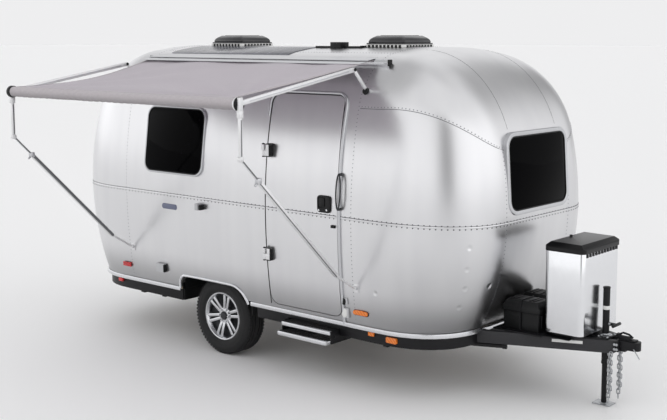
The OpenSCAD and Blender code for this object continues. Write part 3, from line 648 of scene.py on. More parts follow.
def rounded_outline(width: float, height: float, radius: float,
                    steps: int = 8) -> list[tuple[float, float, Vector]]:
    """Points round a rectangle with round corners.

    Args:
        width: full width.
        height: full height.
        radius: corner radius.
        steps: steps in a corner.
    Returns:
        For each point its two coordinates and the direction outward.
    """
    points = []
    for quarter, (sx, sy) in enumerate(((1, 1), (-1, 1), (-1, -1), (1, -1))):
        for k in range(steps + 1):
            a = radians(90 * (quarter + k / steps))
            out = Vector((cos(a), sin(a)))
            points.append((sx * (width / 2 - radius) + radius * out.x,
                           sy * (height / 2 - radius) + radius * out.y, out))
    return points


# Body shell

@dataclass(frozen=True)
class EndForm:
    """Form of the front or rear end, in metres: an arc that leans in over the belt, then the roof arc."""
    sign: int
    belt_x: float
    length: float
    lean_h: float
    lean_d: float
    low_r: float
    seam_x: float
    crown_h: float

    @property
    def lean_r(self) -> float:
        """Radius of the leaning arc."""
        return (self.lean_h ** 2 + self.lean_d ** 2) / (2 * self.lean_d)

    @property
    def lean_a(self) -> float:
        """Angle of the leaning arc."""
        return asin(self.lean_h / self.lean_r)

    @property
    def roof_r(self) -> float:
        """Radius of the roof arc before it is stretched."""
        return (self.crown_h - self.lean_h) / (1 - sin(self.lean_a))

    @property
    def centre_x(self) -> float:
        """Where the corner starts along the side."""
        return self.belt_x - self.sign * self.length

    def row(self, v: float) -> Pair:
        """Depth and height of the end's section.

        Args:
            v: 0 at the belt, 1 where the roof arc starts, 2 at the crown.
        Returns:
            Depth inward from the belt and height over it.
        """
        stretch = self.length / (self.lean_d + self.roof_r * cos(self.lean_a))
        if v <= 1:
            a = self.lean_a * v
            return stretch * self.lean_r * (1 - cos(a)), self.lean_r * sin(a)
        a = self.lean_a + (pi / 2 - self.lean_a) * (v - 1)
        return (stretch * (self.lean_d + self.roof_r * (cos(self.lean_a) - cos(a))),
                self.lean_h + self.roof_r * (sin(a) - sin(self.lean_a)))


@dataclass
class ShellForm:
    """The shell's outer face as formulas, in metres, the same as in the solids."""
    belt_z: float = 1.426
    half_width: float = 1.1
    floor_z: float = 0.565
    low_r: float = 5.4
    lean_r: float = 3.87
    lean_a: float = radians(13.05)
    roof_r: float = 0.56
    roof_a: float = radians(80)
    corner_w: float = 0.66
    corner_n: float = 2.4
    front_x: float = -0.612
    rear_x: float = -5.41
    seam_front: float = -1.66
    seam_rear: float = -4.45
    wall: float = 0.04
    front: EndForm = field(init=False)
    rear: EndForm = field(init=False)

    def __post_init__(self) -> None:
        """Works out the arcs' centres and both ends."""
        lean_y = self.half_width - self.lean_r * (1 - cos(self.lean_a))
        lean_z = self.belt_z + self.lean_r * sin(self.lean_a)
        self.roof_y = lean_y - self.roof_r * cos(self.lean_a)
        self.roof_z = lean_z - self.roof_r * sin(self.lean_a)
        self.crown_y = self.roof_y + self.roof_r * cos(self.roof_a)
        edge_z = self.roof_z + self.roof_r * sin(self.roof_a)
        self.crown_r = self.crown_y / cos(self.roof_a)
        self.crown_c = edge_z - self.crown_r * sin(self.roof_a)
        self.crown_h = self.crown_c + self.crown_r - self.belt_z
        self.flat_y = self.half_width - self.corner_w
        self.middle = Vector(((self.front_x + self.rear_x) / 2, 0, self.belt_z))
        self.front = EndForm(1, self.front_x, 0.88, 0.58, 0.059, 1.7, self.seam_front, self.crown_h)
        self.rear = EndForm(-1, self.rear_x, 0.82, 0.612, 0.171, 1.8, self.seam_rear, self.crown_h)

    def row(self, v: float) -> Pair:
        """Depth and height of the side section, with v as for an end."""
        if v <= 1:
            a = self.lean_a * v
            return self.lean_r * (1 - cos(a)), self.lean_r * sin(a)
        a = self.lean_a + (self.roof_a - self.lean_a) * (v - 1)
        return (self.half_width - self.roof_y - self.roof_r * cos(a),
                self.roof_z + self.roof_r * sin(a) - self.belt_z)

    def low_depth(self, radius: float, z: float) -> float:
        """How far a lower wall lies inside its belt line at a height."""
        return radius - sqrt(radius ** 2 - (self.belt_z - z) ** 2)

    def side(self, side: int, x: float, z: float, out: float = 0.0) -> Vector:
        """Point on a side wall at a height.

        Args:
            side: CURB or STREET.
            x: place along the caravan.
            z: height.
            out: distance outward from the wall.
        Returns:
            The point.
        """
        h = z - self.belt_z
        if h < 0:
            depth = self.low_depth(self.low_r, z)
        elif h < self.lean_r * sin(self.lean_a):
            depth = self.lean_r - sqrt(self.lean_r ** 2 - h ** 2)
        else:
            depth = self.half_width - self.roof_y - sqrt(self.roof_r ** 2 - (z - self.roof_z) ** 2)
        return Vector((x, side * (self.half_width - depth + out), z))

    def side_upper(self, side: int, x: float, v: float) -> Vector:
        """Point on an upper side panel."""
        depth, height = self.row(v)
        return Vector((x, side * (self.half_width - depth), self.belt_z + height))

    def crown(self, x: float, t: float) -> Vector:
        """Point on the roof, with t from the curb edge at 0 to the street edge at 1."""
        a = pi - self.roof_a + (2 * self.roof_a - pi) * t
        return Vector((x, self.crown_r * cos(a), self.crown_c + self.crown_r * sin(a)))

    def station(self, end: EndForm, s: float) -> tuple[float, float, float, float, float]:
        """A place round an end.

        Args:
            end: front or rear.
            s: 0 to 1 on the curb side, to 2 round its corner, to 3 on the flat, then as far again to 5.
        Returns:
            Factors in x and y, bases in y and x, and the end's share of the section.
        """
        side = CURB if s <= 2.5 else STREET
        t = s if s <= 2.5 else 5 - s
        if t <= 1:
            return 0.0, side, side * self.flat_y, end.seam_x + (end.centre_x - end.seam_x) * t, 0.0
        if t < 2:
            a = pi / 2 * (2 - t)
            power = 2 / self.corner_n
            return (cos(a) ** power, side * sin(a) ** power, side * self.flat_y, end.centre_x,
                    cos(a) ** 2)
        return 1.0, 0.0, self.flat_y * (2 * (s - 2) - 1), end.centre_x, 1.0

    def upper(self, end: EndForm, s: float, v: float) -> Vector:
        """Point on an end's upper panel."""
        fx, fy, by, bx, share = self.station(end, s)
        (ds, hs), (de, he) = self.row(v), end.row(v)
        last_d, last_h = self.row(2)
        y_top = by + (self.corner_w - last_d) * fy
        top = self.crown_c + sqrt(self.crown_r ** 2 - y_top ** 2) - self.belt_z
        rise = hs / last_h + (he / end.crown_h - hs / last_h) * share
        return Vector((bx + end.sign * (end.length - de) * fx, by + (self.corner_w - ds) * fy,
                       self.belt_z + top * rise))

    def lower(self, end: EndForm, s: float, w: float, out: float = 0.0) -> Vector:
        """Point on an end's lower panel, with w from the floor at 0 to the belt at 1."""
        fx, fy, by, bx, _ = self.station(end, s)
        z = self.floor_z + (self.belt_z - self.floor_z) * w
        ds, de = self.low_depth(self.low_r, z) - out, self.low_depth(end.low_r, z) - out
        return Vector((bx + end.sign * (end.length - de) * fx, by + (self.corner_w - ds) * fy, z))

    def normal(self, surface: Surface, u: float, v: float) -> Vector:
        """Outward direction of a surface at two parameters."""
        step = 1e-3
        along = surface(u + step, v) - surface(u - step, v)
        across = surface(u, v + step) - surface(u, v - step)
        made = along.cross(across).normalized()
        return made if made.dot(surface(u, v) - self.middle) > 0 else -made

    def trace(self, surface: Surface, path: Path, spacing: float) -> list[Spot]:
        """Evenly spaced spots along a line on a surface.

        Args:
            surface: surface of two parameters.
            path: the two parameters for a share of the line from 0 to 1.
            spacing: distance between spots.
        Returns:
            Points with their outward directions.
        """
        shares = np.linspace(0.002, 0.998, 240)
        points = np.array([surface(*path(t)) for t in shares])
        run = np.concatenate([[0], np.cumsum(np.linalg.norm(np.diff(points, axis=0), axis=1))])
        count = max(int(run[-1] / spacing), 2)
        wanted = np.interp((np.arange(count) + 0.5) / count * run[-1], run, shares)
        return [(surface(*path(t)), self.normal(surface, *path(t))) for t in wanted]


FORM = ShellForm()


@dataclass
class Doorway:
    """Sizes of the doorway in the curb side, in metres."""
    x: Pair = (-2.62, -1.808)
    z: Pair = (0.592, 2.395)
    corner: float = 0.09
    latch_gap: float = 0.008
    bevel: float = 0.09
    reach: Pair = (-1.25, -0.78)
    pivot_y: float = -1.118
    cut_z: Pair = (0.3, 2.7)

    def prism(self, gap: float = 0.0, sloped: bool = False) -> Piece:
        """A solid that fills the doorway.

        Args:
            gap: clearance left all round.
            sloped: whether the latch edge slopes so that the door can swing.
        Returns:
            The new object.
        """
        middle = (sum(self.x) / 2, sum(self.z) / 2)
        outline = rounded_outline(self.x[1] - self.x[0] - 2 * gap, self.z[1] - self.z[0] - 2 * gap,
                                  self.corner - gap)
        corners = [(middle[0] + x, self.reach[0], middle[1] + z) for x, z, _ in outline]
        obj = slab(corners, (0, self.reach[1] - self.reach[0], 0))
        if sloped:
            start, (outer, inner), (low, high) = self.x[1] - self.latch_gap, self.reach, self.cut_z
            edge = [(start, outer), (start + 1, outer), (start + 1, inner),
                    (start - self.bevel * (inner - self.pivot_y), inner), (start, self.pivot_y)]
            cut(obj, slab([(x, y, low) for x, y in edge], (0, 0, high - low)))
        return obj


@dataclass
class Window:
    """One window: the wall's direction, its place, size and lean, its rim inside and its flange round it."""
    wall: Vector
    place: Vector
    width: float
    height: float
    lean: float
    rim: float = -0.008
    flange: float = 0.025
    corner: float = 0.08

    @property
    def axes(self) -> tuple[Vector, Vector, Vector]:
        """Directions to the right, up and outward."""
        lean = radians(self.lean)
        out = self.wall * cos(lean) + Z_AXIS * sin(lean)
        up = Z_AXIS * cos(lean) - self.wall * sin(lean)
        return up.cross(out), up, out

    def loop(self, inset: float, out: float) -> list[Vector]:
        """Points round the window.

        Args:
            inset: distance inside the outer edge.
            out: distance outward from the wall.
        Returns:
            The points in order.
        """
        right, up, away = self.axes
        outline = rounded_outline(self.width - 2 * inset, self.height - 2 * inset, self.corner - inset)
        return [self.place + right * a + up * b + away * out for a, b, _ in outline]

    def hole(self) -> Piece:
        """A solid that cuts the opening."""
        return slab(self.loop(0.0, -0.2), self.axes[2] * 0.32)

    def bead(self, inset: float, profile: Sequence[Pair]) -> Piece:
        """A closed profile carried round the window.

        Args:
            inset: distance of the profile's origin inside the outer edge.
            profile: section as distance inward and outward from the wall.
        Returns:
            The new object.
        """
        right, up, out = self.axes
        outline = rounded_outline(self.width - 2 * inset, self.height - 2 * inset, self.corner - inset)
        return ring([(self.place + right * a + up * b, -(right * n.x + up * n.y), out) for a, b,
                     n in outline], profile)


def all_windows() -> list[tuple[str, Window]]:
    """The five windows, each with the panel that it is cut in."""
    side_y = FORM.half_width - 0.032
    return [("side_upper_curb", Window(-Y_AXIS, Vector((-3.795, -side_y, 1.925)), 0.745, 0.57, 7.4)),
            ("side_upper_street", Window(Y_AXIS, Vector((-3.795, side_y, 1.925)), 0.745, 0.57, 7.4)),
            ("side_upper_street", Window(Y_AXIS, Vector((-2.22, side_y, 1.925)), 0.745, 0.57, 7.4)),
            ("front_upper",
             Window(X_AXIS, Vector((FORM.front_x - 0.022, 0, 1.8)), 0.844, 0.571, 3.8, -0.006, 0.04)),
            ("rear_upper",
             Window(-X_AXIS, Vector((FORM.rear_x + 0.029, 0, 1.775)), 0.844, 0.5, 9.6, -0.006, 0.04))]


@dataclass
class Shell:
    """Aluminium skin: smooth panels with lining, lapped seams and rivets."""
    form: ShellForm
    doorway: Doorway
    rivet_r: float = 0.0054
    rivet_h: float = 0.0026
    rivet_step: float = 0.032
    belt_rivet_r: float = 0.0066
    belt_step: float = 0.045
    row_gap: float = 0.014
    lap_w: float = 0.016
    row_out: float = 0.0045
    lap_h: float = 0.0035
    seam_w: float = 0.005
    seam_h: float = 0.0009
    # Height and gap of the dark line over the belt's lap, a painted shadow of its edge.
    shadow_line_h: float = 0.0012
    shadow_line_gap: float = 0.002
    strip_t: float = 0.0015
    strip_step: float = 0.05
    centre_seam: float = 1.981
    dome_seam: float = 2.09
    dome_start: float = 1.12
    band_rise: float = 0.065
    crown_row: float = 1.985
    foot_gap: float = 0.02
    arch_y: Pair = (0.7, 1.2)
    cell: float = 0.03

    def wall(self, surface: Surface, columns: int, rows: int) -> Piece:
        """A sheet with the wall's thickness, skin outside and lining inside, formed like a panel."""
        obj = face_away(formed(columns, rows, surface), self.form.middle)
        for finish in (SKIN, LINING):
            obj.data.materials.append(finish.material())
        return modify(obj, "SOLIDIFY", thickness=self.form.wall, offset=-1, use_even_offset=True,
                      material_offset=1)

    def panel(self, name: str, surface: Surface, columns: int, rows: int,
              cutters: Sequence[Piece] = ()) -> None:
        """Builds one panel with its thickness and openings.

        Args:
            name: CAD node that the panel stands for.
            surface: outer face for two parameters from 0 to 1.
            columns: cells along the first parameter.
            rows: cells along the second.
            cutters: solids that cut its openings.
        """
        obj = self.wall(surface, columns, rows)
        for cutter in cutters:
            cut(obj, cutter)
        dress(smooth(obj, 34), "skin_" + name, SKIN, name)

    def arch(self, side: int) -> Piece:
        """A solid that cuts a wheel arch."""
        return slab([(x, side * self.arch_y[0], z) for x, z in ArchTrim().edge(0.0)],
                    (0, side * (self.arch_y[1] - self.arch_y[0]), 0))

    def panels(self) -> None:
        """Builds the nine panels."""
        form = self.form
        length, low_h = form.seam_front - form.seam_rear, form.belt_z - form.floor_z
        columns, windows = int(length / self.cell), all_windows()
        for side, name in ((CURB, "curb"), (STREET, "street")):
            doors = range(1 if side == CURB else 0)
            node = "side_upper_" + name
            self.panel(node, lambda u, v,
                       side=side: form.side_upper(side, form.seam_rear + length * u, 2 * v), columns, 44,
                       [w.hole() for n, w in windows if n == node] + [self.doorway.prism() for _ in doors])
            self.panel("side_lower_" + name, lambda u, v,
                       side=side: form.side(side, form.seam_rear + length * u, form.floor_z + low_h * v),
                       columns, 14, [self.arch(side)] + [self.doorway.prism() for _ in doors])
        for end, name in ((form.front, "front"), (form.rear, "rear")):
            node = name + "_upper"
            self.panel(node, lambda u, v, end=end: form.upper(end, self.spread(u), 2 * v), 120, 48,
                       [w.hole() for n, w in windows if n == node])
            self.panel(name + "_lower", lambda u, v, end=end: form.lower(end, self.spread(u), v), 120, 16)
        reach = form.front.centre_x - form.rear.centre_x
        self.panel("roof", lambda u, v: form.crown(form.rear.centre_x + reach * u, v), 60, 24)

    @staticmethod
    def spread(u: float) -> float:
        """Gives the corners most of an end panel's columns."""
        stops, shares = (0, 1, 2, 3, 4, 5), (0, 0.05, 0.43, 0.57, 0.95, 1)
        return float(np.interp(u, shares, stops))

    def band(self, t: float) -> float:
        """Height of the dome's lower seam, which rises round the corner to the centre panel at t of 1."""
        corner = max(0.0, self.centre_seam * t - 1) / (self.centre_seam - 1)
        return 1 + self.band_rise * sin(pi * corner)

    def lines(self) -> tuple[list[Seam], list[Seam], list[Seam]]:
        """The seams of the fixed shell.

        Returns:
            Belt laps, riveted seams and sealed seams.
        """
        form, belt, seams, sealed = self.form, [], [], []
        foot = form.floor_z + self.foot_gap
        for end in (form.front, form.rear):
            upper, lower = partial(form.upper, end), partial(form.lower, end)
            belt.append((lower, lambda t: (5 * t, 1.0)))
            for s in (self.centre_seam, 5 - self.centre_seam):
                seams += [(upper, lambda t, s=s: (s, t)), (lower, lambda t, s=s: (s, t))]
            for s in (self.dome_seam, 5 - self.dome_seam):
                sealed.append((upper, lambda t, s=s: (s, self.dome_start + (2 - self.dome_start) * t)))
            bands = [(upper, lambda t: (self.centre_seam * t, self.band(t))),
                     (upper, lambda t: (5 - self.centre_seam * t, self.band(t)))]
            seams += bands
            sealed += bands
        for side in (CURB, STREET):
            low, high = partial(form.side, side), partial(form.side_upper, side)
            spans = [(form.seam_rear, form.seam_front)]
            if side == CURB:
                spans = [(form.seam_rear, self.doorway.x[0]), (self.doorway.x[1], form.seam_front)]
            belt += [(low, lambda t, a=a, b=b: (a + (b - a) * t, form.belt_z)) for a, b in spans]
            for x in (form.seam_rear, form.seam_front):
                seams += [(low, lambda t, x=x: (x, foot + (form.belt_z - self.foot_gap - foot) * t)),
                          (high, lambda t, x=x: (x, 2 * t))]
            seams.append((high,
                          lambda t: (form.seam_rear + (form.seam_front - form.seam_rear) * t,
                                     self.crown_row)))
        for x in (form.seam_rear, form.seam_front):
            seams.append((form.crown, lambda t, x=x: (x, t)))
        return belt, seams, sealed

    def ribbon(self, surface: Surface, path: Path, width: float, height: float, lift: float = 0.0) -> Piece:
        """A thin half-round strip along a seam.

        Args:
            surface: surface of two parameters.
            path: the line on it.
            width: strip width.
            height: how far it stands out.
            lift: how far it lies over the line.
        Returns:
            The new object.
        """
        spots = self.form.trace(surface, path, self.strip_step)
        count = len(spots) - 1
        tips = [surface(*path(0.0)), surface(*path(1.0))]
        spots = [(tips[0], spots[0][1])] + spots[1:-1] + [(tips[1], spots[-1][1])]

        def place(u: float, v: float) -> Vector:
            """Point of the strip."""
            i = round(u * count)
            ahead = spots[min(i + 1, count)][0] - spots[max(i - 1, 0)][0]
            across = spots[i][1].cross(ahead).normalized()
            rise = height * sqrt(1 - 0.96 * (2 * v - 1) ** 2)
            return spots[i][0] + spots[i][1] * rise + across * width * (v - 0.5) + Z_AXIS * lift

        obj = face_away(formed(count, 6, place), self.form.middle)
        return modify(obj, "SOLIDIFY", thickness=self.strip_t, offset=-1)

    def lap(self, surface: Surface, path: Path) -> Piece:
        """The belt's lap along a line."""
        return self.ribbon(surface, path, self.lap_w, self.lap_h)

    def lap_shadow_line(self, surface: Surface, path: Path) -> Piece:
        """A dark line over the belt's lap: painted shadow of the lap's upper edge."""
        return self.ribbon(surface, path, self.seam_w, self.shadow_line_h, self.lap_w / 2 + self.shadow_line_gap)

    def belt_rivets(self, name: str, spots: Sequence[Spot], body: str) -> None:
        """Sets the belt's larger rivet heads, darker as painted shade, on spots as one piece."""
        dress(scatter(dome(self.belt_rivet_r, self.rivet_h), spots), name, BELT_RIVET, body=body)

    def double_row(self, surface: Surface, path: Path) -> list[Spot]:
        """Rivet spots in two rows along a lap."""
        return [(place + Z_AXIS * s * (self.lap_w / 2 + self.row_out), normal)
                for place, normal in self.form.trace(surface, path, self.belt_step) for s in (-1, 1)]

    def seams(self) -> None:
        """Builds laps, sealed seams, a painted shadow line over each belt lap, and rivet rows."""
        belt, seams, sealed = self.lines()
        laps = [self.lap(*seam) for seam in belt]
        dress(smooth(joined(laps)), "belt_lap", SKIN)
        sealant_and_shadow_lines = [self.ribbon(*seam, self.seam_w, self.seam_h) for seam in sealed]
        # A dark line over each belt lap: painted shadow of the lap's edge.
        sealant_and_shadow_lines += [self.lap_shadow_line(*seam) for seam in belt]
        dress(smooth(joined(sealant_and_shadow_lines)), "seam_sealant_and_shadow_line", SEALANT)
        self.belt_rivets("belt_rivets", [spot for seam in belt for spot in self.double_row(*seam)], CARAVAN)
        spots = []
        for seam in seams:
            line = self.form.trace(*seam, self.rivet_step)
            ahead = [(line[min(i + 1, len(line) - 1)][0] - line[max(i - 1, 0)][0]).normalized()
                     for i in range(len(line))]
            spots += [(place + normal.cross(run) * self.row_gap, normal) for (place, normal),
                      run in zip(line, ahead)]
        dress(scatter(dome(self.rivet_r, self.rivet_h), spots), "seam_rivets", RIVET)

    def build(self) -> None:
        """Builds the whole shell."""
        self.panels()
        self.seams()


@dataclass
class ArchTrim:
    """Bright lip round a wheel arch."""
    points: tuple[Pair, ...] = (
        (-3.792, 0.40), (-3.782, 0.59), (-3.766, 0.634), (-3.74, 0.66), (-3.706, 0.672), (-3.11, 0.672),
        (-3.06, 0.666), (-3.01, 0.646), (-2.968, 0.612), (-2.934, 0.56), (-2.906, 0.5), (-2.88, 0.4))
    lip: float = 0.014

    def edge(self, out: float) -> list[Pair]:
        """The arch's outline moved outward.

        Args:
            out: distance outward from the arch's edge.
        Returns:
            Points in x and z.
        """
        middle = Vector((-3.33, 0.45))
        moved = []
        for i, (x, z) in enumerate(self.points):
            before, after = self.points[max(i - 1, 0)], self.points[min(i + 1, len(self.points) - 1)]
            run = Vector((after[0] - before[0], after[1] - before[1])).normalized()
            away = Vector((-run.y, run.x))
            away = away if away.dot(Vector((x, z)) - middle) > 0 else -away
            moved.append((x + away.x * out, z + away.y * out))
        return moved

    def build(self) -> None:
        """Builds both lips as bent tubes flattened on the wall."""
        pieces = []
        for side in (CURB, STREET):
            path = [FORM.side(side, x, max(z, 0.45), 0.003) for x, z in self.smooth_edge()]
            pieces.append(pipe(path, self.lip))
        dress(pieces, "arch_lips", BRIGHT, "arch_trim")

    def smooth_edge(self) -> list[Pair]:
        """The lip's centreline with its corners rounded by averaging."""
        line = np.array(self.edge(self.lip))
        for _ in range(3):
            inner = np.stack([0.75 * line[:-1] + 0.25 * line[1:], 0.25 * line[:-1] + 0.75 * line[1:]],
                             1).reshape(-1, 2)
            line = np.concatenate([line[:1], inner, line[-1:]])
        return [tuple(p) for p in line if p[1] > 0.53]


@dataclass
class Glazing:
    """Window frames, gaskets and dark panes."""
    stand: float = 0.012
    sunk: float = 0.034

    def build(self) -> None:
        """Builds all five windows."""
        frames, gaskets, panes = [], [], []
        for _, window in all_windows():
            w, f = window.rim, window.flange
            frames.append(window.bead(0.0,
                                      [(-f, -self.sunk), (-f, 0.006), (-f + 0.004, 0.01),
                                       (w - 0.008, self.stand), (w - 0.002, 0.009), (w, 0.004),
                                       (w, -self.sunk)]))
            gaskets.append(window.bead(w,
                                       [(-0.002, -0.02), (-0.002, 0.007), (0.003, 0.0095), (0.008, 0.0075),
                                        (0.008, -0.02)]))
            panes.append(soften(slab(window.loop(w, -0.03), window.axes[2] * 0.036), 0.003))
        dress(frames, "window_rims", SATIN, "window_frames")
        dress(gaskets, "window_gaskets", BLACK_PLASTIC)
        dress(panes, "window_panes", GLASS, "window_glass")


@dataclass
class Door:
    """Entry door with its belt lap, hinges and latch, and the tube round the doorway."""
    shell: Shell
    gap: float = 0.006
    lap_gaps: Pair = (0.012, 0.02)
    hinge: Pair = (-2.617, -1.118)
    hinge_zs: Pair = (1.035, 1.918)
    knuckle_r: float = 0.012
    tube_r: float = 0.0135
    tube_foot: float = 0.548
    tube_end: float = 2.2
    latch: Pair = (-1.952, 1.522)
    latch_size: float = 0.14

    def leaf(self) -> None:
        """Builds the leaf from a sheet of the wall cut to the doorway."""
        way = self.shell.doorway
        x, z = way.x[0] - 0.05, way.z[0] - 0.05
        obj = self.shell.wall(lambda u, v: FORM.side(CURB, x + 0.92 * u, z + 1.9 * v), 30, 62)
        cut(obj, way.prism(self.gap, sloped=True), "INTERSECT")
        dress(smooth(obj, 34), "door_leaf", SKIN, "door_panel", body=DOOR)

    def belt(self) -> None:
        """Carries the belt lap, its painted shadow line and its rivets across the leaf."""
        shell, wall, (first, last) = self.shell, partial(FORM.side, CURB), self.shell.doorway.x
        start, run = first + self.lap_gaps[0], last - first - sum(self.lap_gaps)

        def path(t: float) -> Pair:
            """Line along the belt."""
            return start + run * t, FORM.belt_z

        dress(smooth(shell.lap(wall, path)), "door_belt_lap", SKIN, body=DOOR)
        # A dark line over the door's belt lap: painted shadow.
        dress(smooth(shell.lap_shadow_line(wall, path)), "door_belt_shadow_line", SEALANT, body=DOOR)
        shell.belt_rivets("door_rivets", shell.double_row(wall, path), DOOR)

    def hinges(self) -> None:
        """Builds the hinge leaves, knuckles and dark end caps of both sides, and a dark strip down each door
        leaf's free edge as painted shadow.
        """
        (x, y), r = self.hinge, self.knuckle_r
        fixed, moving, caps, caps_and_shadow = [], [], [], []
        for z in self.hinge_zs:
            fixed += [block((x - 0.026, y - 0.004, z + 0.002), (x, y + 0.062, z + 0.048), 0.003),
                      rod((x, y, z + 0.002), (x, y, z + 0.048), r, bevel=0.002)]
            moving += [block((x + 0.004, y - 0.006, z - 0.048), (x + 0.062, y + 0.062, z), 0.003),
                       block((x + 0.03, y - 0.006, z - 0.004), (x + 0.062, y + 0.062, z + 0.048), 0.003),
                       rod((x, y, z - 0.048), (x, y, z), r, bevel=0.002)]
            caps.append(rod((x, y, z + 0.048), (x, y, z + 0.058), r * 1.04, bevel=0.003))
            # Dark caps under the knuckles and across the door leaf's top and bottom, and a dark strip down
            # its free edge as painted shadow.
            caps_and_shadow += [rod((x, y, z - 0.058), (x, y, z - 0.048), r * 1.04, bevel=0.003),
                          block((x + 0.061, y - 0.002, z - 0.046), (x + 0.068, y + 0.062, z + 0.046), 0.002),
                          block((x + 0.03, y - 0.003, z + 0.047), (x + 0.064, y + 0.062, z + 0.056), 0.002),
                          block((x + 0.012, y - 0.003, z - 0.056), (x + 0.064, y + 0.062, z - 0.047), 0.002)]
        dress(fixed, "hinge_plates", ARM, "door_hinges", slot="fitting_grey")
        dress(caps, "hinge_caps", BLACK_PLASTIC)
        dress(moving, "door_hinge_leaves", ARM, "door_fittings", slot="fitting_grey", body=DOOR)
        dress(caps_and_shadow, "door_hinge_caps_and_shadow", BLACK_PLASTIC, body=DOOR)

    def handle(self) -> None:
        """Builds the black latch with its paddle, lock buttons and the small catch under it."""
        x, z = self.latch
        y = FORM.side(CURB, x, z).y
        body = [(x + a, y + 0.006, z + b) for a, b,
                _ in rounded_outline(self.latch_size, self.latch_size, 0.028)]
        parts = [soften(slab(body, (0, -0.022, 0)), 0.006, 3)]
        dish = [(x - 0.02 + a, y - 0.02, z + 0.012 + b) for a, b, _ in rounded_outline(0.085, 0.09, 0.02)]
        cut(parts[0], slab(dish, (0, 0.012, 0)))
        parts.append(block((x - 0.052, y - 0.0145, z - 0.02), (x + 0.008, y - 0.007, z + 0.05), 0.003))
        parts.append(block((-1.878, y - 0.014, 1.336), (-1.836, y + 0.006, 1.36), 0.003))
        dress(smooth(joined(parts)), "door_latch", BLACK_PLASTIC, body=DOOR)
        buttons = [rod((x + s, y - 0.0155, z + h), (x + s, y - 0.0195, z + h), 0.0085, bevel=0.0015)
                   for s, h in ((-0.048, -0.052), (0.036, -0.046))]
        dress(buttons, "latch_buttons", BRIGHT, slot="fitting_grey", body=DOOR)

    def surround(self) -> None:
        """Bends the tube round the doorway and lays a dark gasket inside it."""
        way = self.shell.doorway

        def route(out: float, foot: float, end: float, lift: float) -> list[Vector]:
            """Points up the latch side, over the top and down to the end height."""
            middle = (sum(way.x) / 2, sum(way.z) / 2)
            outline = rounded_outline(way.x[1] - way.x[0] + 2 * out, way.z[1] - way.z[0] + 2 * out,
                                      way.corner + out, 14)
            top = [(middle[0] + a, middle[1] + b) for a, b, _ in outline if b > 0]
            up = [(top[0][0], h) for h in np.linspace(foot, top[0][1], 40)[:-1]]
            down = [(top[-1][0], h) for h in np.linspace(top[-1][1], end, 12)[1:]]
            return [FORM.side(CURB, a, b, lift) for a, b in up + top + down]

        tube = pipe(route(self.tube_r + 0.002, self.tube_foot, self.tube_end, 0.006), self.tube_r)
        dress(tube, "door_tube", SATIN)
        gasket = pipe(route(0.0, way.z[0], way.z[0], 0.001), 0.0035, 2)
        dress(gasket, "door_gasket", BLACK_PLASTIC)

    def build(self) -> None:
        """Builds the door."""
        self.leaf()
        self.belt()
        self.hinges()
        self.handle()
        self.surround()


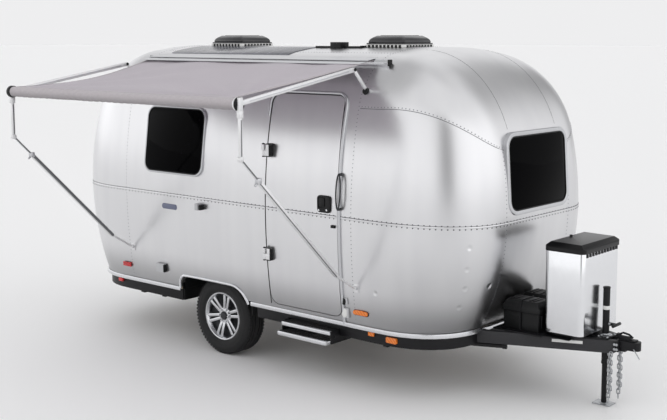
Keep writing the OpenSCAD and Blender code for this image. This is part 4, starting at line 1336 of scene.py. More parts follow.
@dataclass
class Awning:
    """Cloth stretched from its rail to a roller on two folding arms."""
    x: Pair = (-4.366, -1.690)
    start: Pair = (-0.790, 2.671)
    lip: Pair = (-2.322, 2.437)
    flat: Pair = (2.676, 1.55)
    roller: Pair = (-2.330, 2.396)
    roller_r: float = 0.044
    head_r: float = 0.05
    arm_xs: Pair = (-4.416, -1.640)
    shoulder: Pair = (-1.10, 2.606)
    strut_foot: Pair = (-0.94, 2.432)
    knee: Pair = (-2.33, 2.01)
    elbow: Pair = (-1.315, 1.012)
    foot: Pair = (-1.088, 0.872)
    sag: float = 0.016
    slack: float = 0.06
    fold: float = 0.13
    fold_reach: float = 0.42
    folds: int = 14
    ripple: float = 0.0022
    cloth_t: float = 0.0012
    hem_lift: float = 0.0014
    flap_t: float = 0.004
    wrap_end: float = 0.02

    @property
    def width(self) -> float:
        """The cloth's width."""
        return self.x[1] - self.x[0]

    def point(self, u: float, v: float, lift: float = 0.0) -> Vector:
        """Point on the cloth, slack in the middle and at the rear edge, with folds from the roller's ends.

        Args:
            u: share of the width, from the rear.
            v: share of the length, from the rail.
            lift: distance over the cloth.
        Returns:
            The point.
        """
        a, b = Vector((0, *self.start)), Vector((0, *self.lip))
        along = (b - a).normalized()
        up = Vector((0, along.z, -along.y))
        hang = self.sag * (0.5 + 0.5 * sin(pi * u)) + self.slack * (1 - u) ** 4
        height = -sin(pi * v) * hang
        for corner in (0, 1):
            side, deep = abs(u - corner) * self.flat[0], (1 - v) * self.flat[1]
            far = hypot(side, deep)
            drag = self.fold * far * exp(-far / self.fold_reach) * sin(self.folds * atan2(deep, side))
            height += drag * sin(pi * u) ** 0.5
        height += self.ripple * sin(pi * u) * sin(21 * v + 3 * u) * v
        return Vector((self.x[0] + self.width * u, 0, 0)) + a + (b - a) * v + up * (height + lift)

    def thin(self, columns: int, rows: int, place: Surface, thickness: float, offset: int) -> Piece:
        """A thin sheet that faces up: cells, place as for formed, thickness and its side of the place."""
        obj = face_away(formed(columns, rows, place), Vector((sum(self.x) / 2, self.start[0], 0)))
        return modify(obj, "SOLIDIFY", thickness=thickness, offset=offset)

    def cloth(self) -> None:
        """Builds the cloth with a hem along each free edge."""
        obj = self.thin(110, 64, self.point, self.cloth_t, 0)
        dress(smooth(obj, 40), "awning_cloth_sheet", CLOTH, "awning_cloth")
        hems = []
        for first, last in ((0.0, 0.012), (0.988, 1.0)):
            def strip(u: float, v: float, first: float = first, wide: float = last - first) -> Vector:
                """Point on the hem."""
                return self.point(first + wide * u, v, self.hem_lift)

            hems.append(self.thin(2, 64, strip, self.cloth_t, 1))
        hem = dress(smooth(joined(hems), 40), "awning_hems", ROLLED_CLOTH)

    def wrapped(self) -> None:
        """Builds the roller with cloth wound unevenly round it."""
        x0, length = self.x[0] - self.wrap_end, self.width + 2 * self.wrap_end

        def place(u: float, v: float) -> Vector:
            """Point on the wound cloth."""
            x, a = x0 + length * u, tau * v
            pucker = sin(31 * x + 2 * sin(a)) * sin(47 * x + 1.3) + 0.6 * sin(83 * x - 3 * cos(a))
            r = self.roller_r - 0.0015 + 0.0016 * pucker * sin(pi * u) ** 0.2
            return Vector((x, self.roller[0] + r * cos(a), self.roller[1] + r * sin(a)))

        obj = formed(260, 28, place)
        with editing(obj):
            bpy.ops.mesh.remove_doubles(threshold=1e-5)
            bpy.ops.mesh.fill_holes(sides=0)
            bpy.ops.mesh.select_all(action="SELECT")
            bpy.ops.mesh.normals_make_consistent(inside=False)
        dress(smooth(obj, 50), "awning_roll", ROLLED_CLOTH, "awning_roller")

    def heads(self) -> None:
        """Builds the roller's heads: dark at the rear, pale with a dark ring and a bracket at the front."""
        y, z = self.roller
        (rear, front), r = self.arm_xs, self.head_r
        dark = [rod((rear - 0.013, y, z), (self.x[0] - 0.02, y, z), r, bevel=0.006),
                rod((self.x[1] + 0.036, y, z), (self.x[1] + 0.046, y, z), r * 1.03, bevel=0.003)]
        dress(dark, "roller_dark_caps", BLACK_PLASTIC)
        pale = [rod((self.x[1] + 0.02, y, z), (self.x[1] + 0.036, y, z), r, bevel=0.004),
                rod((self.x[1] + 0.046, y, z), (front - 0.008, y, z), r * 0.8, r * 0.7, 0.006),
                block((front - 0.014, y - 0.024, z - 0.06), (front + 0.013, y + 0.024, z + 0.047), 0.008, 3)]
        dress(pale, "roller_pale_cap", ARM)

    def arms(self) -> None:
        """Builds the rafters, struts, uprights and braces with their joints."""
        upper, lower, knobs, joints, channels_and_shade = [], [], [], [], []
        for x in self.arm_xs:
            def at(yz: Pair, shift: float = 0.0, x: float = x) -> Vector:
                """Place in the arm's plane."""
                return Vector((x + shift, *yz))

            head = (self.roller[0] + 0.01, self.roller[1] + 0.006)
            upper += [bar(at(head), at(self.shoulder), 0.026, 0.036, 0.006),
                      bar(at(self.strut_foot), at(self.shoulder), 0.02, 0.024, 0.005)]
            groove = [at(head, 0.0131).lerp(at(self.shoulder, 0.0131), t) for t in (0.06, 0.94)]
            joints.append(bar(groove[0], groove[1], 0.002, 0.008, 0.0006))
            foot, clamp = at(self.strut_foot), at(self.knee).lerp(at(self.elbow), 0.17)
            knobs += [rod(foot + Vector((0, 0.012, 0)), foot - Vector((0, 0.03, 0)), 0.03, 0.026, 0.006),
                      rod(at(self.shoulder, -0.019), at(self.shoulder, 0.019), 0.014, bevel=0.003)]
            lower += [bar(at((self.roller[0], self.roller[1] - 0.046)), at(self.knee), 0.024, 0.026, 0.006),
                      block((x - 0.017, self.roller[0] - 0.02, self.roller[1] - 0.1),
                            (x + 0.017, self.roller[0] + 0.02, self.roller[1] - 0.047), 0.006),
                      bar(at(self.knee), clamp, 0.015, 0.017, 0.004),
                      bar(clamp, at(self.elbow), 0.034, 0.038, 0.012),
                      rod(at(self.knee, -0.017), at(self.knee, 0.017), 0.021, bevel=0.004)]
            inner = [at(self.knee).lerp(at(self.elbow), 0.96), at(self.elbow),
                     at(self.elbow).lerp(at(self.foot), 0.15), at(self.foot)]
            lower.append(pipe(inner, 0.0105, 3))
            # Grey strips on the legs' sides: the open channel, and painted shade that covers most of the rear
            # leg's brace and darkens the front leg's lower edge.
            drop, wide = (0.002, 0.024) if x == self.arm_xs[0] else (0.012, 0.009)
            side = Vector((0.0166, -drop * 0.7, -drop * 0.7))
            channels_and_shade += [bar(clamp + side, at(self.elbow) + side, 0.0016, wide, 0.0004),
                        bar(at(self.knee, 0.0071), clamp + X_AXIS * 0.0071, 0.0016, 0.012, 0.0004),
                        bar(at((self.roller[0], self.roller[1] - 0.11), 0.0118), at(self.knee, 0.0118),
                            0.0016, 0.01, 0.0004)]
            joints += [block(clamp - Vector((0.019, 0.02, 0.022)), clamp + Vector((0.019, 0.02, 0.022)),
                             0.006),
                       rod(clamp - Vector((0.0, 0.018, 0.02)), clamp - Vector((0.0, 0.036, 0.034)), 0.009,
                           bevel=0.002)]
            wall = FORM.side(CURB, x, self.foot[1])
            lower += [block((x - 0.024, wall.y - 0.005, 0.835), (x + 0.024, wall.y + 0.006, 0.905), 0.003),
                      block((x - 0.016, wall.y - 0.03, 0.857), (x + 0.016, wall.y, 0.887), 0.004)]
            joints.append(rod((x - 0.022, self.foot[0], self.foot[1]),
                              (x + 0.022, self.foot[0], self.foot[1]), 0.008, bevel=0.002))
        dress(upper, "awning_rafter_bars", ARM, "awning_rafters")
        dress(lower, "awning_leg_bars", ARM, "awning_legs")
        dress(knobs, "awning_knobs", BLACK_PLASTIC)
        dress(joints, "awning_clamps", SATIN, slot="arm_silver")
        dress(channels_and_shade, "awning_leg_channels_and_shade", CHANNEL_AND_SHADE)

    def rail(self) -> None:
        """Dresses the rail on the roof with its screws."""
        dress_node("awning_rail", "awning_rail_strip", BRIGHT, 0.004)
        a = radians(56)
        out = Vector((0, -cos(a), sin(a)))
        spots = []
        for x in np.linspace(self.x[0] + 0.1, self.x[1] - 0.1, 14):
            place = Vector((x, -FORM.roof_y, FORM.roof_z)) + out * (FORM.roof_r + 0.04)
            spots.append((place, out))
        dress(scatter(dome(0.007, 0.003, 10), spots), "rail_screws", SATIN)
        points = [v.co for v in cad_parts["awning_rail"].data.vertices]
        caps = []
        for end, way in ((min(p.x for p in points), -1), (max(p.x for p in points), 1)):
            tip = [p for p in points if abs(p.x - end) < 0.004]
            low = Vector((end - 0.004, min(p.y for p in tip) + 0.004, min(p.z for p in tip) + 0.004))
            high = Vector((end + 0.004, max(p.y for p in tip) - 0.004, max(p.z for p in tip) - 0.004))
            caps.append(block(low + X_AXIS * way * 0.002, high + X_AXIS * way * 0.002, 0.003, 3))
        dress(caps, "rail_caps", BLACK_PLASTIC)

    def flap(self) -> None:
        """Builds the stiff cover over the cloth's first part, in two steps."""
        steps = []
        for first, last, lift in ((-0.035, 0.055, 0.016), (0.05, 0.125, 0.008)):
            def cover(u: float, v: float, a: float = first, b: float = last, h: float = lift) -> Vector:
                """Point on the cover, straight across from the cloth's front edge."""
                return self.point(1.0, a + (b - a) * v, h) - X_AXIS * self.width * u

            steps.append(soften(self.thin(40, 6, cover, self.flap_t, -1), 0.0012))
        dress(steps, "awning_flap", SATIN)

    def build(self) -> None:
        """Builds the awning."""
        self.cloth()
        self.flap()
        self.wrapped()
        self.heads()
        self.arms()
        self.rail()


@dataclass
class RoofGear:
    """Two vents, the solar sheet and its lead."""
    vent_xs: Pair = (-4.0, -2.044)
    base_half: float = 0.215
    base_top: float = 2.794
    lid_top: float = 2.868
    slots: int = 9

    def vents(self) -> None:
        """Builds bases with slots darkened as painted shade, and ribbed smoked lids."""
        dress_node("vent_bases", "vent_frames", WHITE_PLASTIC, 0.008, slot="vent_white")
        lids = [from_node("vent_lids", 0.022, 4)]
        slots = []
        for x in self.vent_xs:
            lids += [block((x - 0.13, y - 0.009, self.lid_top - 0.008),
                           (x + 0.13, y + 0.009, self.lid_top + 0.004), 0.004) for y in (-0.1, 0.0, 0.1)]
            lids.append(block((x - 0.207, -0.207, self.base_top - 0.002),
                              (x + 0.207, 0.207, self.base_top + 0.012), 0.005))
            # Dark blocks on the base's sides: painted shade inside the slots.
            for k in range(self.slots):
                s = (k - (self.slots - 1) / 2) * 0.042
                h = self.base_half
                for lo, hi in (((x + s - 0.014, -h - 0.0015), (x + s + 0.014, -h + 0.01)),
                               ((x + s - 0.014, h - 0.01), (x + s + 0.014, h + 0.0015)),
                               ((x + h - 0.01, s - 0.014), (x + h + 0.0015, s + 0.014)),
                               ((x - h - 0.0015, s - 0.014), (x - h + 0.01, s + 0.014))):
                    slots.append(block((*lo, self.base_top - 0.028), (*hi, self.base_top - 0.004), 0.001, 1))
        dress(smooth(joined(lids), 40), "vent_covers", SMOKED, "vent_lids")
        dress(slots, "vent_slot_shade", BLACK_PLASTIC, slot="vent_smoke")

    def build(self) -> None:
        """Builds the roof's equipment."""
        self.vents()
        dress_node("solar_panel", "solar_sheet", SOLAR, 0.0012)
        dress_node("solar_lead", "solar_cable", BLACK_PLASTIC, 0.004)


@dataclass
class Tongue:
    """Towing frame with its coupler, jack and chains."""
    rail_a: Pair = (0.13, -0.048)
    rail_b: Pair = (-1.18, -0.59)
    rail_w: float = 0.05
    rail_top: float = 0.54
    plate_top: float = 0.55
    jack_r: float = 0.027
    band_z: Pair = (0.757, 0.787)
    label: Pair = (0.265, 0.502)
    label_z: Pair = (0.496, 0.52)
    conduit: Pair = (0.86, 1.4)
    conduit_z: float = 0.42
    chain_spots: tuple[Pair, ...] = ((0.086, -0.084), (0.1, 0.056))
    chain_top: float = 0.452
    link: Pair = (0.0115, 0.0215)
    wire: float = 0.0046

    def frame_bars(self) -> None:
        """Dresses the rails and plate, with bolts and a blank label."""
        dress_node("tongue_rails", "tongue_bars", RAIL_PAINT, 0.006)
        dress_node("tongue_plate", "tongue_deck", BLACK_PAINT, 0.003)
        spots = [(Vector((x, y, self.plate_top)), Z_AXIS) for x in (-0.125, -0.03, 0.045)
                 for y in (-0.06, 0.06)]
        dress(scatter(dome(0.011, 0.009, 6), spots), "plate_bolts", ZINC)
        a, b = Vector((*self.rail_a, 0)), Vector((*self.rail_b, 0))
        along = (b - a).normalized()
        out = Vector((-along.y, along.x, 0))
        mid = Z_AXIS * sum(self.label_z) / 2 + out * (self.rail_w / 2 + 0.0005)
        label = bar(a + along * self.label[0] + mid, a + along * self.label[1] + mid,
                    self.label_z[1] - self.label_z[0], 0.0016, 0.0004, Z_AXIS)
        dress(label, "blank_label", WHITE_PLASTIC)
        low = Z_AXIS * self.conduit_z
        start, end = a + along * self.conduit[0] + low, a + along * self.conduit[1] + low
        tube = [rod(start, end, 0.017, bevel=0.002),
                rod(start - along * 0.004, start + along * 0.035, 0.022, bevel=0.004)]
        dress(tube, "rail_conduit", BLACK_PLASTIC)

    def coupling(self) -> None:
        """Dresses the coupler and adds its lever, pin and side bolts."""
        dress_node("coupler", "coupler_body", BLACK_PAINT, 0.008, 3)
        lever = [pipe([(0.118, -0.002, 0.578), (0.15, -0.002, 0.596), (0.2, -0.002, 0.588),
                       (0.232, -0.002, 0.566)], 0.008, 3),
                 block((0.19, -0.034, 0.54), (0.262, 0.034, 0.552), 0.005)]
        dress(lever, "coupler_lever", BLACK_PAINT)
        bolts = [rod((x, s * 0.084, z), (x, s * 0.095, z), 0.012, bevel=0.002, sides=6)
                 for x in (0.122, 0.14) for s in (-1, 1) for z in (0.478, 0.515)]
        pin = [pipe([(0.262, -0.05, 0.492), (0.288, -0.062, 0.47), (0.322, -0.07, 0.43)], 0.004, 2)]
        dress(bolts + pin, "coupler_bolts", ZINC)

    def jack(self) -> None:
        """Dresses the jack with its band, cap, crank and foot."""
        dress_node("jack_tube", "jack_post", BLACK_PAINT, 0.004)
        band = rod((0, 0, self.band_z[0]), (0, 0, self.band_z[1]), self.jack_r + 0.0008, bevel=0.0006,
                   sides=32)
        dress(band, "jack_band", WHITE_PLASTIC)
        cap = [lathe(Vector((0, 0, 0.926)), Z_AXIS,
                     [(0.001, 0), (0.029, 0), (0.0295, 0.004), (0.029, 0.009), (0.022, 0.012),
                      (0.001, 0.013)], 32),
               lathe(Vector((0, 0, 0.33)), Z_AXIS,
                     [(0.0215, -0.006), (0.0285, -0.006), (0.0295, 0.0), (0.0285, 0.014), (0.0215, 0.014)],
                     32)]
        grip = rod((0.089, -0.062, 0.645), (0.089, 0.062, 0.645), 0.0125, bevel=0.004)
        dress(cap + [grip], "jack_caps", BLACK_PLASTIC)
        collar = [rod((0.026, 0, 0.645), (0.044, 0, 0.645), 0.016, bevel=0.003),
                  lathe(Vector((0, 0, 0.55)), Z_AXIS,
                        [(0.026, 0), (0.052, 0), (0.052, 0.006), (0.03, 0.01), (0.026, 0.02)], 40)]
        dress(collar, "jack_collar", ZINC)
        dress_node("jack_foot", "jack_plate", ZINC, 0.003)

    def chain_links(self) -> None:
        """Hangs two doubled chains of oval links from the tongue."""
        links = []
        pitch = 2 * (self.link[1] - self.wire)
        for x, y in self.chain_spots:
            for strand, bottom in ((-0.013, 0.035), (0.013, 0.11)):
                count = int((self.chain_top - bottom) / pitch)
                for k in range(count):
                    a = radians(20 + 90 * (k % 2))
                    side = Vector((cos(a), sin(a), 0))
                    centre = Vector((x + strand, y - strand, self.chain_top - pitch * (k + 0.5)))
                    oval = rounded_outline(2 * self.link[0], 2 * self.link[1], self.link[0] - 0.0005, 5)
                    section = [(self.wire * cos(t), self.wire * sin(t)) for t in np.arange(6) * pi / 3]
                    links.append(ring([(centre + side * p + Z_AXIS * q, side * n.x + Z_AXIS * n.y,
                                        side.cross(Z_AXIS)) for p, q, n in oval], section))
        dress(links, "safety_chains", ZINC, "chains")

    def build(self) -> None:
        """Builds the tongue."""
        self.frame_bars()
        self.coupling()
        self.jack()
        self.chain_links()


@dataclass
class GasLocker:
    """Polished box with a black lid, and the bottles in it."""
    front_x: float = -0.049
    half_w: float = 0.298
    top_z: float = 1.222
    teeth: int = 11

    def build(self) -> None:
        """Builds the box, lid, bottles and tray."""
        dress_node("gas_box", "gas_box_sheet", POLISHED, 0.002)
        dress_node("gas_lid", "gas_lid_moulding", LID_BLACK, 0.009, 3, body=LID)
        step = 2 * (self.half_w - 0.06) / (self.teeth - 1)
        teeth = [block((self.front_x + 0.0006, y - 0.011, self.top_z - 0.03),
                       (self.front_x + 0.007, y + 0.011, self.top_z + 0.004), 0.0015, 1)
                 for y in (-self.half_w + 0.06 + step * k for k in range(self.teeth))]
        dress(teeth, "lid_teeth", LID_BLACK, body=LID)
        dress_node("gas_bottles", "bottles", BOTTLE, 0.006)
        dress_node("gas_tray", "locker_tray", BLACK_PAINT, 0.003)


@dataclass
class BatteryBoxes:
    """Two moulded battery boxes with straps, ribs and vent caps."""
    ys: Pair = (-0.215, 0.065)
    x: Pair = (-0.745, -0.410)
    top: float = 0.792

    def build(self) -> None:
        """Builds both boxes."""
        dress_node("battery_boxes", "battery_cases", BLACK_PLASTIC, 0.01, 3)
        extras = []
        middle = sum(self.x) / 2
        for y in self.ys:
            extras.append(pipe([(middle, y - 0.108, 0.56), (middle, y - 0.113, 0.7),
                                (middle, y - 0.113, 0.742), (middle, y - 0.088, self.top + 0.003),
                                (middle, y + 0.088, self.top + 0.003), (middle, y + 0.113, 0.742),
                                (middle, y + 0.113, 0.7), (middle, y + 0.108, 0.56)], 0.006, 2))
            extras += [block((self.x[0] + 0.05 + s, y - 0.07, self.top - 0.003),
                             (self.x[0] + 0.068 + s, y + 0.07, self.top + 0.006), 0.003)
                       for s in (0.0, 0.035, 0.17, 0.205)]
            extras += [block((self.x[1] - 0.002, y + s - 0.009, 0.585),
                             (self.x[1] + 0.004, y + s + 0.009, 0.69), 0.003) for s in (-0.06, 0.0, 0.06)]
        extras.append(block((self.x[0] - 0.06, self.ys[0] - 0.15, 0.5405),
                            (self.x[1] + 0.04, self.ys[1] + 0.2, 0.553), 0.003))
        dress(extras, "battery_straps", BLACK_PAINT, slot="black_plastic")


@dataclass
class Step:
    """Folding entry step: two bright treads with grip strips between dark side plates."""
    x: Pair = (-2.43, -1.89)
    treads: tuple[tuple[float, float, float, float], ...] = ((-1.115, -0.9, 0.445, 0.478),
                                                             (-1.165, -0.93, 0.371, 0.407))
    hanger: float = 0.54

    def build(self) -> None:
        """Builds the treads, grips and plates."""
        bright, grips, plates = [], [], []
        for y0, y1, z0, z1 in self.treads:
            bright.append(block((self.x[0], y0, z0), (self.x[1], y1, z1), 0.006, 3))
            grips += [block((self.x[0] + 0.02, y0 + 0.03 + s, z1 - 0.001),
                            (self.x[1] - 0.02, y0 + 0.042 + s, z1 + 0.002), 0.001, 1)
                      for s in np.arange(0, 0.15, 0.024)]
        for x in (self.x[0] - 0.008, self.x[1]):
            plates += [block((x, -1.1, 0.37), (x + 0.008, -0.6, 0.482), 0.003),
                       block((x - 0.01, -0.7, 0.44), (x + 0.018, -0.585, self.hanger), 0.003)]
            plates.append(rod((x - 0.004, -1.06, 0.425), (x + 0.014, -1.06, 0.425), 0.011, bevel=0.002))
        dress(bright, "step_treads", BRIGHT, "entry_step")
        dress(grips, "step_grips", BLACK_PLASTIC)
        dress(plates, "step_plates", BLACK_PAINT)


@dataclass
class Lamps:
    """Marker, skirt and tail lamps, with bezels, and the blank number plate."""
    red: Pair = (-4.535, 0.683)
    amber: Pair = (-1.612, 0.667)
    red_size: Pair = (0.11, 0.04)
    amber_size: Pair = (0.15, 0.037)
    reflector: Pair = (-1.338, 0.481)
    reflector_size: Pair = (0.105, 0.048)
    stand: float = 0.018
    tail_ys: Pair = (-0.74, 0.74)
    tail_zs: Pair = (1.01, 1.15)
    tail_r: float = 0.056

    @staticmethod
    def tail_spot(y: float, z: float) -> Spot:
        """Place and direction of a tail lamp on the rear's lower panel.

        Args:
            y: place across.
            z: height.
        Returns:
            The point on the wall and its outward direction.
        """
        wall = partial(FORM.lower, FORM.rear)
        w = (z - FORM.floor_z) / (FORM.belt_z - FORM.floor_z)
        shares = sorted((wall(s, w).y, s) for s in np.linspace(1.0, 4.0, 121))
        s = float(np.interp(y, [a for a, _ in shares], [b for _, b in shares]))
        return wall(s, w), FORM.normal(wall, s, w)

    def pod(self, side: int, place: Pair, size: Pair, out: float) -> Piece:
        """A rounded lamp on a low wall.

        Args:
            side: CURB or STREET.
            place: centre in x and z.
            size: length and height.
            out: how far it stands from the wall.
        Returns:
            The new object.
        """
        wall = FORM.side(side, *place)
        outline = [(place[0] + a, wall.y - side * 0.012, place[1] + b)
                   for a, b, _ in rounded_outline(size[0], size[1], min(size) * 0.48)]
        return soften(slab(outline, (0, side * (out + 0.012), 0)), 0.007, 3)

    def build(self) -> None:
        """Builds the lamps."""
        red, amber, bezels = [], [], []
        for side in (CURB, STREET):
            for lens, place, size in ((red, self.red, self.red_size), (amber, self.amber, self.amber_size)):
                lens.append(self.pod(side, place, size, self.stand))
                bezels.append(self.pod(side, place, (size[0] + 0.012, size[1] + 0.012), 0.006))
            strip = [(self.reflector[0] + a, side * 0.98, self.reflector[1] + b)
                     for a, b, _ in rounded_outline(*self.reflector_size, 0.012)]
            amber.append(soften(slab(strip, (0, side * 0.03, 0)), 0.004))
        skirt = (from_node("red_lamps", 0.006, 3), from_node("amber_lamps", 0.006, 3))
        cut(skirt[0], block((-5.6, -1.0, 0.9), (-5.0, 1.0, 1.4)))
        rings, r = [], self.tail_r
        for place, out in (self.tail_spot(y, z) for y in self.tail_ys for z in self.tail_zs):
            red.append(lathe(place, out,
                             [(0.001, -0.03), (r, -0.03), (r, 0.016), (r * 0.84, 0.023), (0.001, 0.026)],
                             48))
            rings.append(lathe(place, out,
                               [(r - 0.002, -0.035), (r + 0.012, -0.035), (r + 0.012, 0.008),
                                (r + 0.006, 0.017), (r - 0.002, 0.014)], 48))
        dress(smooth(joined([skirt[0]] + red)), "red_lenses", RED_LENS, "red_lamps")
        dress(smooth(joined([skirt[1]] + amber)), "amber_lenses", AMBER_LENS, "amber_lamps")
        dress(bezels, "lamp_bezels", BLACK_PLASTIC)
        dress(rings, "tail_lamp_rings", BRIGHT)
        dress_node("number_plate", "blank_plate", WHITE_PLASTIC, 0.003)


@dataclass
class Fittings:
    """Small things on the walls: grab loop, outlets, hatches, catch and a blank badge."""
    loop_x: float = -1.783
    loop_z: Pair = (1.497, 1.775)
    loop_w: float = 0.044
    loop_out: float = 0.034
    badge: Pair = (-3.852, 1.315)
    badge_size: Pair = (0.205, 0.052)

    def grab(self) -> None:
        """Bends the oval grab loop and its two feet."""
        middle, half = sum(self.loop_z) / 2, (self.loop_z[1] - self.loop_z[0]) / 2
        turns = [tau * k / 48 for k in range(50)]
        path = [FORM.side(CURB, self.loop_x + self.loop_w / 2 * cos(a), middle + half * sin(a),
                          self.loop_out) for a in turns]
        loop = pipe(path, 0.0065)
        feet = [rod(FORM.side(CURB, self.loop_x, z, self.loop_out), FORM.side(CURB, self.loop_x, z, -0.01),
                    0.01, 0.014) for z in self.loop_z]
        dress([loop] + feet, "grab_loop", DARK_ALLOY, "grab_handle")

    def plates(self) -> None:
        """Dresses outlets and hatches with frames, lines and the badge."""
        dress_node("side_fittings", "wall_fittings", GREY_PLASTIC, 0.006, 3)
        lamps = Lamps()
        badge = lamps.pod(CURB, self.badge, self.badge_size, 0.006)
        dress(badge, "blank_badge", BADGE)
        dark = [lamps.pod(CURB, (-1.778, 0.741), (0.05, 0.058), 0.016),
                lamps.pod(CURB, (-3.394, 1.353), (0.026, 0.048), 0.05),
                lamps.pod(CURB, (-3.972, 0.716), (0.014, 0.074), 0.033)]
        dress(dark, "wall_dark_caps", BLACK_PLASTIC)
        pale = lamps.pod(CURB, (-1.776, 0.645), (0.052, 0.074), 0.02)
        dress(pale, "outlet_cover", WHITE_PLASTIC, slot="fitting_grey")
        lines = []
        for x, z, w, h in ((-4.05, 0.9, 0.42, 0.38), (-2.15, 0.86, 0.36, 0.3)):
            y = FORM.side(STREET, x, z).y + 0.012
            corners = [(x + a, y, z + b) for a, b, _ in rounded_outline(w - 0.05, h - 0.05, 0.02)]
            lines.append(pipe(corners + corners[:2], 0.003, 2))
            lines.append(rod((x + w * 0.36, y - 0.004, z), (x + w * 0.36, y + 0.006, z), 0.016, bevel=0.003))
        dress(lines, "hatch_lines", DARK_ALLOY)

    def build(self) -> None:
        """Builds the fittings."""
        self.grab()
        self.plates()


@dataclass
class RunningWheel:
    """One wheel: tyre with ribs and lugs, cast rim with six twin spokes, cap and nuts."""
    side: int
    name: str
    x: float = -3.305
    radius: float = 0.351
    outer: float = 0.987
    width: float = 0.225
    rim_r: float = 0.212
    spokes: int = 6
    nuts: int = 6
    lugs: int = 68

    @property
    def body(self) -> str:
        """The CAD body of the wheel."""
        return f"wheel_{self.name}_body"

    @property
    def base(self) -> Vector:
        """Centre of the inner face."""
        return Vector((self.x, self.side * (self.outer - self.width), self.radius))

    def at(self, radius: float, angle: float, height: float) -> Vector:
        """Place on the wheel by radius, angle in degrees and height from the inner face."""
        a = radians(angle)
        return self.base + Vector((radius * cos(a), self.side * height, radius * sin(a)))

    def tyre(self) -> None:
        """Turns the tyre and sets lugs on both shoulders."""
        r, w, axis = self.radius, self.width, Y_AXIS * self.side
        half = [(self.rim_r, 0.022), (self.rim_r + 0.012, 0.011), (self.rim_r + 0.03, 0.0055),
                (self.rim_r + 0.033, 0.003), (self.rim_r + 0.058, 0.0), (self.rim_r + 0.082, 0.001),
                (self.rim_r + 0.085, 0.0035), (r - 0.03, 0.007), (r - 0.014, 0.019), (r - 0.006, 0.034),
                (r - 0.003, 0.046)]
        tread = []
        for groove in (0.056, 0.086):
            tread += [(r - 0.001, groove - 0.006), (r - 0.01, groove - 0.004), (r - 0.01, groove + 0.004),
                      (r - 0.0005, groove + 0.006)]
        first = half + tread
        profile = first + [(p, w - h) for p, h in reversed(first)]
        parts = [lathe(self.base, axis, profile, 112)]
        for k in range(self.lugs):
            for row, (low, high) in enumerate(((0.02, 0.047), (w - 0.047, w - 0.02))):
                angle = 360 * (k + 0.5 * row) / self.lugs
                a, b = self.at(r - 0.008, angle, low), self.at(r - 0.0045, angle, high)
                round_way = Vector((-sin(radians(angle)), 0, cos(radians(angle))))
                along = (b - a).normalized()
                side = (round_way - along * round_way.dot(along)).normalized()
                parts.append(bar(a, b, 0.019, 0.010, 0.0016, side))
        dress(smooth(joined(parts), 35), f"tyre_{self.name}_ribbed", RUBBER, f"tyre_{self.name}",
              body=self.body)

    def rim(self) -> None:
        """Turns the rim and casts its spokes, with a dark dish behind them."""
        r, axis = self.rim_r, Y_AXIS * self.side
        barrel = [(r, 0.024), (r, 0.2), (r + 0.009, 0.205), (r + 0.0095, 0.211), (r + 0.004, 0.216),
                  (r - 0.006, 0.214), (r - 0.011, 0.203), (r - 0.02, 0.19), (r - 0.022, 0.16),
                  (r - 0.018, 0.024)]
        parts = [lathe(self.base, axis, barrel, 96)]
        hub = [(0.04, 0.12), (0.078, 0.125), (0.078, 0.178), (0.068, 0.187), (0.05, 0.19), (0.04, 0.19)]
        parts.append(lathe(self.base, axis, hub, 48))
        for k in range(self.spokes):
            middle = 360 * k / self.spokes + 15
            for s in (-1, 1):
                a, b = self.at(0.05, middle + s * 17, 0.172), self.at(r - 0.013, middle + s * 8, 0.192)
                along = (b - a).normalized()
                side = along.cross(axis).normalized()
                parts.append(bar(a, b, 0.03, 0.03, 0.008, side))
        dress(smooth(joined(parts), 35), f"rim_{self.name}", ALLOY, f"wheel_{self.name}", body=self.body)
        dish = [(0.0385, 0.1), (0.0385, 0.128), (0.12, 0.136), (r - 0.021, 0.15), (r - 0.021, 0.1)]
        cap = [(0.0005, 0.15), (0.036, 0.15), (0.036, 0.2), (0.03, 0.206), (0.0005, 0.208)]
        dark = [lathe(self.base, axis, dish, 72), lathe(self.base, axis, cap, 40)]
        dress(dark, f"rim_dish_{self.name}", DARK_ALLOY, slot="alloy", body=self.body)
        nuts = [rod(self.at(0.057, 360 * k / self.nuts, 0.185), self.at(0.057, 360 * k / self.nuts, 0.203),
                    0.0085, bevel=0.002, sides=6) for k in range(self.nuts)]
        dress(nuts, f"wheel_nuts_{self.name}", BRIGHT, slot="alloy", body=self.body)

    def build(self) -> None:
        """Builds the wheel."""
        self.tyre()
        self.rim()


@dataclass
class Underbody:
    """Chassis, deck, wells, skirt and rub rail, rounded at their edges."""
    black: tuple[str, ...] = ("chassis_rails", "crossmembers", "skirt", "axle", "stabilisers", "rear_bumper")
    well_xs: Pair = (-3.79, -2.9)

    def build(self) -> None:
        """Dresses each node."""
        for node in self.black:
            dress_node(node, "dressed_" + node, BLACK_PAINT, 0.005)
        dress_node("floor_deck", "vinyl_floor", FLOOR, 0.002)
        dress_node("wheel_wells", "wheel_tubs", BLACK_PLASTIC, 0.004)
        plates = [block((x, side * 0.72, 0.43), (x + 0.012, side * 1.0, 0.66), 0.003)
                  for side in (CURB, STREET) for x in self.well_xs]
        plates += [block((-3.83, side * 0.985, 0.536), (-3.778, side * 1.018, 0.6), 0.002)
                   for side in (CURB, STREET)]
        plates.append(block((-4.465, -0.96, 0.398), (-4.405, -0.91, 0.45), 0.008))
        dress(plates, "well_plates", BLACK_PLASTIC)
        dress_node("rub_rail", "rub_strip", BRIGHT, 0.006, 3)


# Studio

@dataclass(frozen=True)
class Card:
    """A soft bright card, or a dark gap, in degrees round and above the object."""
    azimuth: float
    half_width: float
    elevation: float
    half_height: float
    strength: float
    edge: float = 14.0


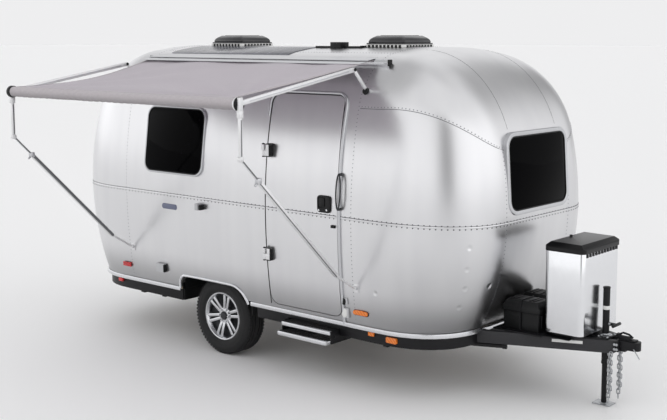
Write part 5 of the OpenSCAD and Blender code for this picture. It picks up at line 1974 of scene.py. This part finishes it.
@dataclass
class Studio:
    """Pale floor, soft light and the photograph's camera."""
    eye: tuple[float, float, float] = (3.939, -7.730, 2.867)
    yaw: float = 129.870
    pitch: float = 7.2095
    lens: float = 60.04
    shift: Pair = (-0.0368, -0.0502)
    base: float = 0.97
    cards: tuple[Card, ...] = (Card(5, 44, 6, 27, 0.42), Card(-120, 54, 0, 24, 0.28),
                               Card(-176, 24, 4, 26, 0.26), Card(-55, 9, 4, 26, -0.8, 7),
                               Card(80, 24, 38, 14, -0.5), Card(92, 12, 0, 28, -0.45, 7),
                               Card(190, 50, 55, 22, -0.4), Card(80, 60, 75, 12, -0.2, 10),
                               Card(130, 30, 0, 7, -0.105, 6))

    def camera(self) -> None:
        """Sets the camera to the photograph's view."""
        yaw, pitch = radians(self.yaw), radians(self.pitch)
        ahead = Vector((cos(yaw) * cos(pitch), sin(yaw) * cos(pitch), -sin(pitch)))
        data = bpy.data.cameras.new("camera")
        data.lens, data.sensor_width, data.clip_end = self.lens, 36, 900
        data.shift_x, data.shift_y = self.shift
        obj = placed("camera", data)
        obj.location, obj.rotation_euler = self.eye, ahead.to_track_quat("-Z", "Y").to_euler()
        bpy.context.scene.camera = obj

    def world(self) -> None:
        """Lights the scene from every side, with soft cards and darker gaps round it."""
        made = bpy.data.worlds.new("soft_studio")
        bpy.context.scene.world = made
        made.use_nodes = True
        tree = made.node_tree
        tree.nodes.clear()
        place = add_node(tree, "TexCoord").outputs["Generated"]
        axes = add_node(tree, "SeparateXYZ", links={0: place}).outputs
        turn = add_node(tree, "Math", {"operation": "ARCTAN2"}, {0: axes[1], 1: axes[0]}).outputs[0]
        rise = add_node(tree, "Math", {"operation": "ARCSINE"}, {0: axes[2]}).outputs[0]
        total = add_node(tree, "Value").outputs[0]
        total.default_value = self.base
        for card in self.cards:
            shares = []
            for angle, middle, half in ((turn, card.azimuth, card.half_width),
                                        (rise, card.elevation, card.half_height)):
                off = add_node(tree, "Math", {"operation": "SUBTRACT", 1: radians(middle)}, {0: angle})
                near = add_node(tree, "Math", {"operation": "WRAP", 1: pi, 2: -pi}, {0: off.outputs[0]})
                size = add_node(tree, "Math", {"operation": "ABSOLUTE"}, {0: near.outputs[0]})
                share = add_node(tree, "MapRange",
                                 {"interpolation_type": "SMOOTHSTEP", "From Min": radians(half + card.edge),
                                  "From Max": radians(half - card.edge)}, {"Value": size.outputs[0]})
                shares.append(share.outputs[0])
            both = add_node(tree, "Math", {"operation": "MULTIPLY"}, {0: shares[0], 1: shares[1]})
            total = add_node(tree, "Math", {"operation": "MULTIPLY_ADD", 1: card.strength},
                             {0: both.outputs[0], 2: total}).outputs[0]
        back = add_node(tree, "Background", {"Color": (0.99, 0.99, 1.0, 1)}, {"Strength": total})
        add_node(tree, "OutputWorld", links={"Surface": back.outputs[0]})

    def floor(self) -> None:
        """Lays the floor just under the object."""
        bpy.ops.mesh.primitive_plane_add(size=600, location=(-2.5, 0, -0.002))
        obj = fresh("studio_floor")
        pale = Finish("studio_floor", "", "#FCFCFC", "#FCFCFC", 0.0, 0.6, 0.0, 500, specular=0.4)
        obj.data.materials.append(pale.material())

    def build(self) -> None:
        """Builds the studio."""
        self.camera()
        self.world()
        self.floor()
        bpy.context.scene.view_settings.view_transform = "Standard"


def main() -> None:
    """Builds every sub-assembly in order."""
    logging.basicConfig(level=logging.INFO, format="%(message)s")
    shell = Shell(FORM, Doorway())
    wheels = [RunningWheel(CURB, "curb"), RunningWheel(STREET, "street")]
    for part in (shell, Door(shell), ArchTrim(), Glazing(), Awning(), RoofGear(), Tongue(), GasLocker(),
                 BatteryBoxes(), Step(), Lamps(), Fittings(), *wheels, Underbody(), Studio()):
        part.build()


if __name__ == "__main__":
    main()
